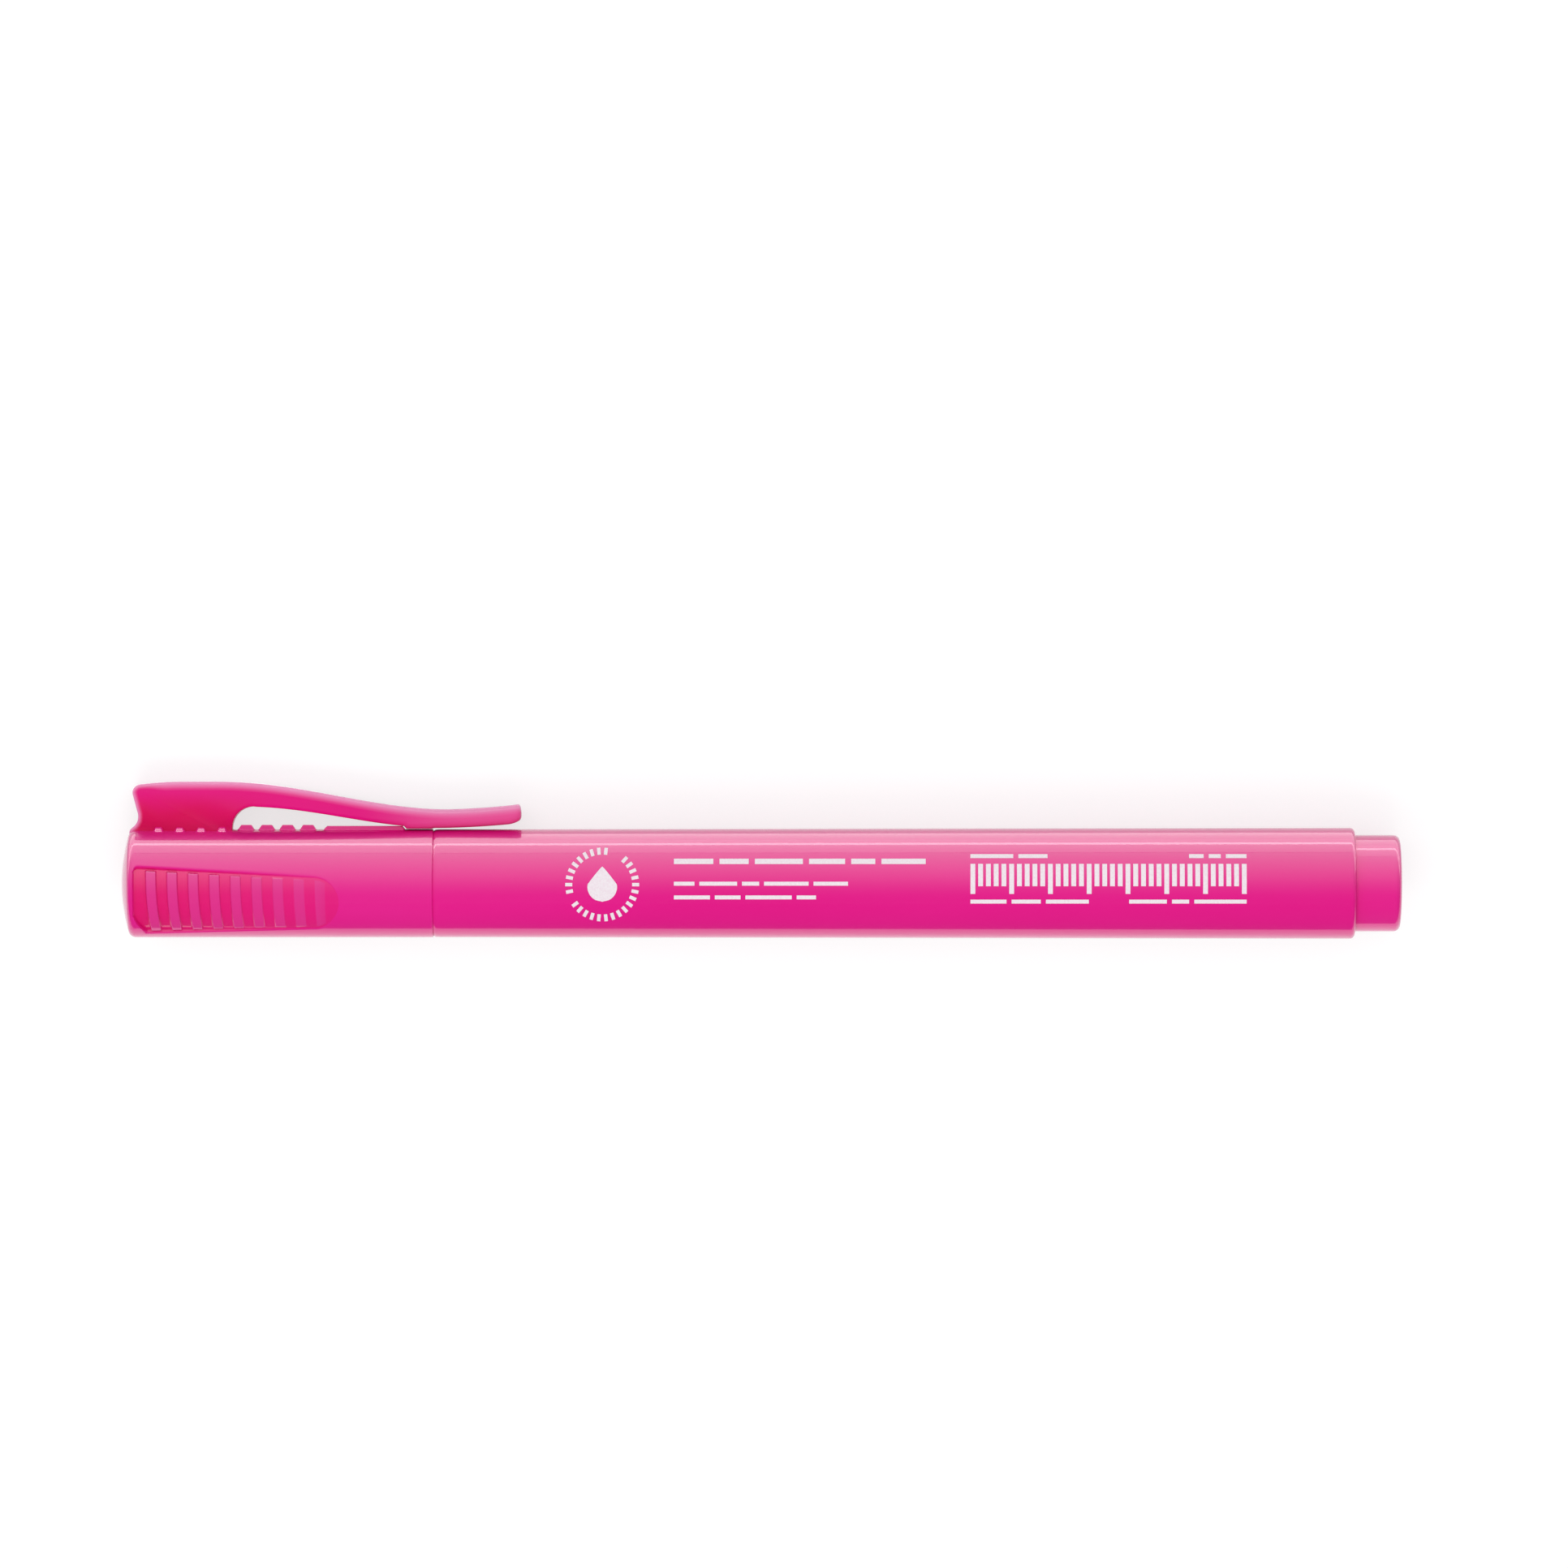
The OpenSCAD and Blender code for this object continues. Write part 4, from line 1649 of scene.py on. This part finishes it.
@dataclass
class RingMark:
    """A ring of short strokes round a plain drop."""

    radius: float = 3.9
    stroke: float = 0.82
    stroke_half_w: float = 0.2
    step: int = 12
    gaps: tuple[tuple[int, int], ...] = ((55, 75), (195, 215))
    drop: float = 1.75
    drop_top: float = 1.35
    drop_low: float = 0.25
    drop_wide: float = 0.15

    def build(self, barrel: Barrel, centre: Point) -> bpy.types.Object:
        """Print the mark.

        Args:
            barrel: What it is printed on.
            centre: Its middle, along the pen and above the axis.

        Returns:
            The print.
        """
        marks = Marks(barrel)
        x, z = centre
        for a in range(0, 360, self.step):
            if any(start <= a <= end for start, end in self.gaps):
                continue
            turn = math.radians(a)
            out, along = (math.cos(turn), math.sin(turn)), (-math.sin(turn), math.cos(turn))
            near, far, wide = self.radius - self.stroke / 2, self.radius + self.stroke / 2, self.stroke_half_w
            marks.quad([(x + out[0] * r + along[0] * w, z + out[1] * r + along[1] * w)
                        for r, w in ((near, -wide), (far, -wide), (far, wide), (near, wide))], 2, 2)
        rows = spread(-1.0, self.drop_top, 22)
        for low, high in zip(rows, rows[1:]):
            marks.quad([(x + side * self.width(t), z - self.drop_low + t * self.drop)
                        for side, t in ((-1, low), (1, low), (1, high), (-1, high))], 4, 1)
        return marks.finish("ring_mark")

    def width(self, share: float) -> float:
        """Half width of the drop at a share of its height: round below, pointed above.

        Args:
            share: The share of the height, from the round end.

        Returns:
            The half width.
        """
        if share < self.drop_wide:
            return self.drop * math.sqrt(max(0.0, 1 - share * share)) * 0.99
        left = max(0.0, (self.drop_top - share) / (self.drop_top - self.drop_wide))
        return self.drop * 0.979 * left**0.9


@dataclass
class StrokeMark:
    """Three rows of plain dashes, each given by its drop, height, gap and lengths."""

    half_w: float = 14.68
    top: float = 2.1
    rows: tuple[tuple[float, float, float, tuple[float, ...]], ...] = (
        (0.0, 0.62, 0.72, (4.6, 3.4, 5.6, 4.2, 2.8, 5.16)),
        (2.6, 0.46, 0.57, (2.4, 4.4, 2.0, 5.2, 4.02)),
        (4.2, 0.46, 0.57, (4.2, 3.0, 5.4, 2.26)),
    )

    def build(self, barrel: Barrel, centre: Point) -> bpy.types.Object:
        """Print the rows.

        Args:
            barrel: What they are printed on.
            centre: Their middle, along the pen and above the axis.

        Returns:
            The print.
        """
        marks = Marks(barrel)
        for drop, height, gap, lengths in self.rows:
            marks.dashes(centre[0] - self.half_w, centre[1] + self.top - drop, lengths, height, gap)
        return marks.finish("stroke_mark")


@dataclass
class TickScale:
    """An evenly divided scale with dashes above and below.

    Each row is given by its side, its dashes from the left end, how far before the right end its others
    start, and those others.
    """

    pitch: float = 0.904
    tick: float = 0.56
    ticks: int = 36
    tall: float = 3.5
    short: float = 2.6
    row_z: float = 2.65
    dash_h: float = 0.46
    gap: float = 0.6
    rows: tuple[tuple[int, tuple[float, ...], float, tuple[float, ...]], ...] = (
        (1, (5.0, 3.4), 6.7, (1.7, 1.4, 2.4)), (-1, (4.2, 3.4, 5.0), 13.7, (4.4, 2.0, 6.1)))

    def build(self, barrel: Barrel, centre: Point) -> bpy.types.Object:
        """Print the scale.

        Args:
            barrel: What it is printed on.
            centre: Its middle, along the pen and above the axis.

        Returns:
            The print.
        """
        marks = Marks(barrel)
        width = (self.ticks - 1) * self.pitch + self.tick
        left, middle = centre[0] - width / 2, centre[1]
        for i in range(self.ticks):
            height = self.short if i % 5 else self.tall
            marks.bar(left + i * self.pitch, middle + (self.tall - height) / 2, self.tick, height)
        for side, first, back, last in self.rows:
            z = middle + side * self.row_z
            marks.dashes(left, z, first, self.dash_h, self.gap)
            marks.dashes(left + width - back, z, last, self.dash_h, self.gap)
        return marks.finish("tick_scale")


@dataclass
class FarSideMarks:
    """A plain band of strokes on the side that the photograph's capped pen hides."""

    bars: int = 9
    first_bar: float = 66.0
    bar_pitch: float = 3.0
    bar_w: float = 1.8
    bar_lean: float = 0.7
    bar_half_h: float = 1.1
    dash_x: float = 100.0
    dash_z: float = 1.2
    row_drop: float = 2.2
    dash_h: float = 0.7
    gap: float = 0.8
    rows: tuple[tuple[float, ...], ...] = ((7.0, 5.0, 8.4, 6.4), (9.4, 5.4, 7.0))

    def build(self, barrel: Barrel) -> bpy.types.Object:
        """Print the band.

        Args:
            barrel: What it is printed on.

        Returns:
            The print.
        """
        marks = Marks(barrel)
        high = self.bar_half_h
        for i in range(self.bars):
            x = self.first_bar + i * self.bar_pitch
            marks.quad([(x, -high), (x + self.bar_w, -high), (x + self.bar_w + self.bar_lean, high),
                        (x + self.bar_lean, high)], 2, 5, side=-1)
        for row, lengths in enumerate(self.rows):
            z = self.dash_z - row * self.row_drop
            marks.dashes(self.dash_x, z, lengths, self.dash_h, self.gap, side=-1)
        return marks.finish("far_side_marks")


# ---------------------------------------------------------------- studio


@dataclass
class Studio:
    """A pale table under an even dome, two soft lights, and what the pen's upper side mirrors."""

    table_size: float = 6.0
    dome: float = 0.94
    bright_lean: float = 80.0
    dark_from: float = -0.47
    bright_peak: float = 3.4
    bright_bend: float = 1.8
    lamp_size: Point = (0.7, 0.35)
    lamps: tuple[tuple[str, Place, float], ...] = (
        ("near_light", (-0.1, -0.34, 0.72), 1.4), ("far_light", (-0.1, 0.44, 0.6), 1.1))
    cards: tuple[tuple[float, float, float], ...] = (
        (0.007, 0.014, 1.9), (0.014, 0.0255, 2.4), (0.0255, 0.55, 2.2))
    card_length: float = 0.3
    card_z: float = 0.0001
    strip_spot: Place = (0.0, 0.0157, 0.0031)
    strip_faces: Place = (0.0, -0.9, 0.435)
    strip_size: Point = (0.3, 0.0016)
    strip_power: float = 0.0065

    def table(self) -> None:
        """Lay the table under the pen."""
        mesh = bpy.data.meshes.new("table")
        half = self.table_size / 2
        corners = [(x * half, y * half, 0) for x, y in ((-1, -1), (1, -1), (1, 1), (-1, 1))]
        mesh.from_pydata(corners, [], [(0, 1, 2, 3)])
        mesh.materials.append(TABLE.material())
        top = bpy.data.objects.new("table", mesh)
        bpy.context.scene.collection.objects.link(top)

    def dome_light(self) -> None:
        """Light evenly from all round, with a smooth fall in what glossy surfaces reflect."""
        bench = NodeBench(bpy.data.worlds.new("dome"), "OutputWorld")
        lean = math.radians(self.bright_lean)
        towards = bench.node("VectorMath", operation="DOT_PRODUCT")
        towards.inputs[1].default_value = AXES.viewer * math.cos(lean) + AXES.clip_up * math.sin(lean)
        bench.link(bench.coords.outputs["Generated"], towards.inputs[0])
        facing = bench.span(towards.outputs["Value"], 0, 1, (self.dark_from, 1.0))
        rise = bench.combine("POWER", facing, self.bright_bend)
        pick = bench.node("Mix", A=self.dome)
        bench.link(bench.node("LightPath").outputs["Is Glossy Ray"], pick.inputs["Factor"])
        bench.link(bench.combine("MULTIPLY", rise, self.bright_peak), pick.inputs["B"])
        glow = bench.node("Background")
        bench.link(pick.outputs["Result"], glow.inputs["Strength"])
        bench.owner.cycles.sampling_method = "NONE"
        bpy.context.scene.world = bench.finish(glow)

    def panel(self, name: str, spot: Vector, faces: Vector, size: Point, power: float,
              mirrored: bool) -> None:
        """Add a soft rectangular light.

        Args:
            name: Name of the light.
            spot: Its middle.
            faces: The way that it shines.
            size: Its length along the pen and its width, in metres.
            power: Its power in watts.
            mirrored: Whether it only shows as a reflection, or else only lights.
        """
        data = bpy.data.lights.new(name, "AREA")
        data.shape = "RECTANGLE"
        data.size, data.size_y = size
        data.energy = power
        lamp = bpy.data.objects.new(name, data)
        lamp.location = spot
        lamp.rotation_euler = faces.to_track_quat("-Z", "Y").to_euler()
        lamp.visible_camera = False
        lamp.visible_glossy = mirrored
        lamp.visible_diffuse = not mirrored
        bpy.context.scene.collection.objects.link(lamp)

    def lights(self) -> None:
        """Hang two soft lights over the pen, and lay cards and a strip behind it for it to mirror."""
        for name, spot, power in self.lamps:
            self.panel(name, Vector(spot), -Vector(spot), self.lamp_size, power, False)
        for number, (start, end, glow) in enumerate(self.cards):
            length, width = self.card_length + end, end - start
            middle = Vector((0.0, (start + end) / 2, self.card_z))
            self.panel(f"card_{number}", middle, Vector((0.0, 0.0, 1.0)), (length, width),
                       glow * math.pi * length * width, True)
        self.panel("strip", Vector(self.strip_spot), Vector(self.strip_faces), self.strip_size,
                   self.strip_power, True)

    def build(self) -> None:
        """Set up the table, the dome and the light, and the plain view transform."""
        self.table()
        self.dome_light()
        self.lights()
        bpy.context.scene.view_settings.view_transform = "Standard"
        log.info("studio set")


# ---------------------------------------------------------------- where pieces show, and imported nodes kept as they are


Spot = tuple[float, float, Vector]


def shown_pixels(camera: PhotoCamera, piece: bpy.types.Object) -> list[Spot]:
    """Where the finished vertices of a piece show.

    Args:
        camera: The photograph's camera.
        piece: The piece.

    Returns:
        For each vertex its x and y in the scaled photograph and its place in pen millimetres.
    """
    made = []
    for vertex in piece.data.vertices:
        place = piece.matrix_world @ vertex.co
        x, y = camera.pixel(place)
        made.append((x, y, AXES.back(place)))
    return made


def write_points(camera: PhotoCamera, pieces: dict[str, bpy.types.Object]) -> None:
    """Find where the vertices of each finished piece show in the photograph.

    Args:
        camera: The photograph's camera.
        pieces: The finished pieces by name.
    """
    spots = {name: shown_pixels(camera, piece) for name, piece in pieces.items()}


def paint_node(node: str, finish: bpy.types.Material) -> None:
    """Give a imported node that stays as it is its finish.

    Args:
        node: Name of the node.
        finish: The material.
    """
    piece = frame["nodes"][node]
    if piece.material_slots:
        for index in range(len(piece.material_slots)):
            piece.material_slots[index].material = finish
    else:
        piece.data.materials.append(finish)
    log.info("%s painted", node)


def main() -> None:
    """Build every sub-assembly in order and report it."""
    logging.basicConfig(level=logging.INFO, format="%(name)s: %(message)s")
    camera = PhotoCamera()
    camera.make()
    barrel = Barrel()
    pieces = {"barrel": barrel.build(), "tail": TailPlug().build(), "section": GripSection().build(),
              "nib": ChiselNib().build(), "liner": InnerCap().build(), "cap": CapShell().build(),
              "clip": SprungClip().build()}
    paint_node("ink_reservoir", RESERVOIR_FIBRE.material())
    paint_node("reservoir_wrap", WRAP_FILM.material())
    bpy.context.view_layer.update()
    for name, kind in (("ring_mark", RingMark()), ("stroke_mark", StrokeMark()), ("tick_scale", TickScale())):
        spot = AXES.back(camera.onto(PHOTO_POINTS[name], pieces["barrel"]))
        pieces[name] = kind.build(barrel, (spot.x, spot.z))
    pieces["far_side"] = FarSideMarks().build(barrel)
    Studio().build()
    bpy.context.view_layer.update()
    write_points(camera, pieces)


if __name__ == "__main__":
    main()
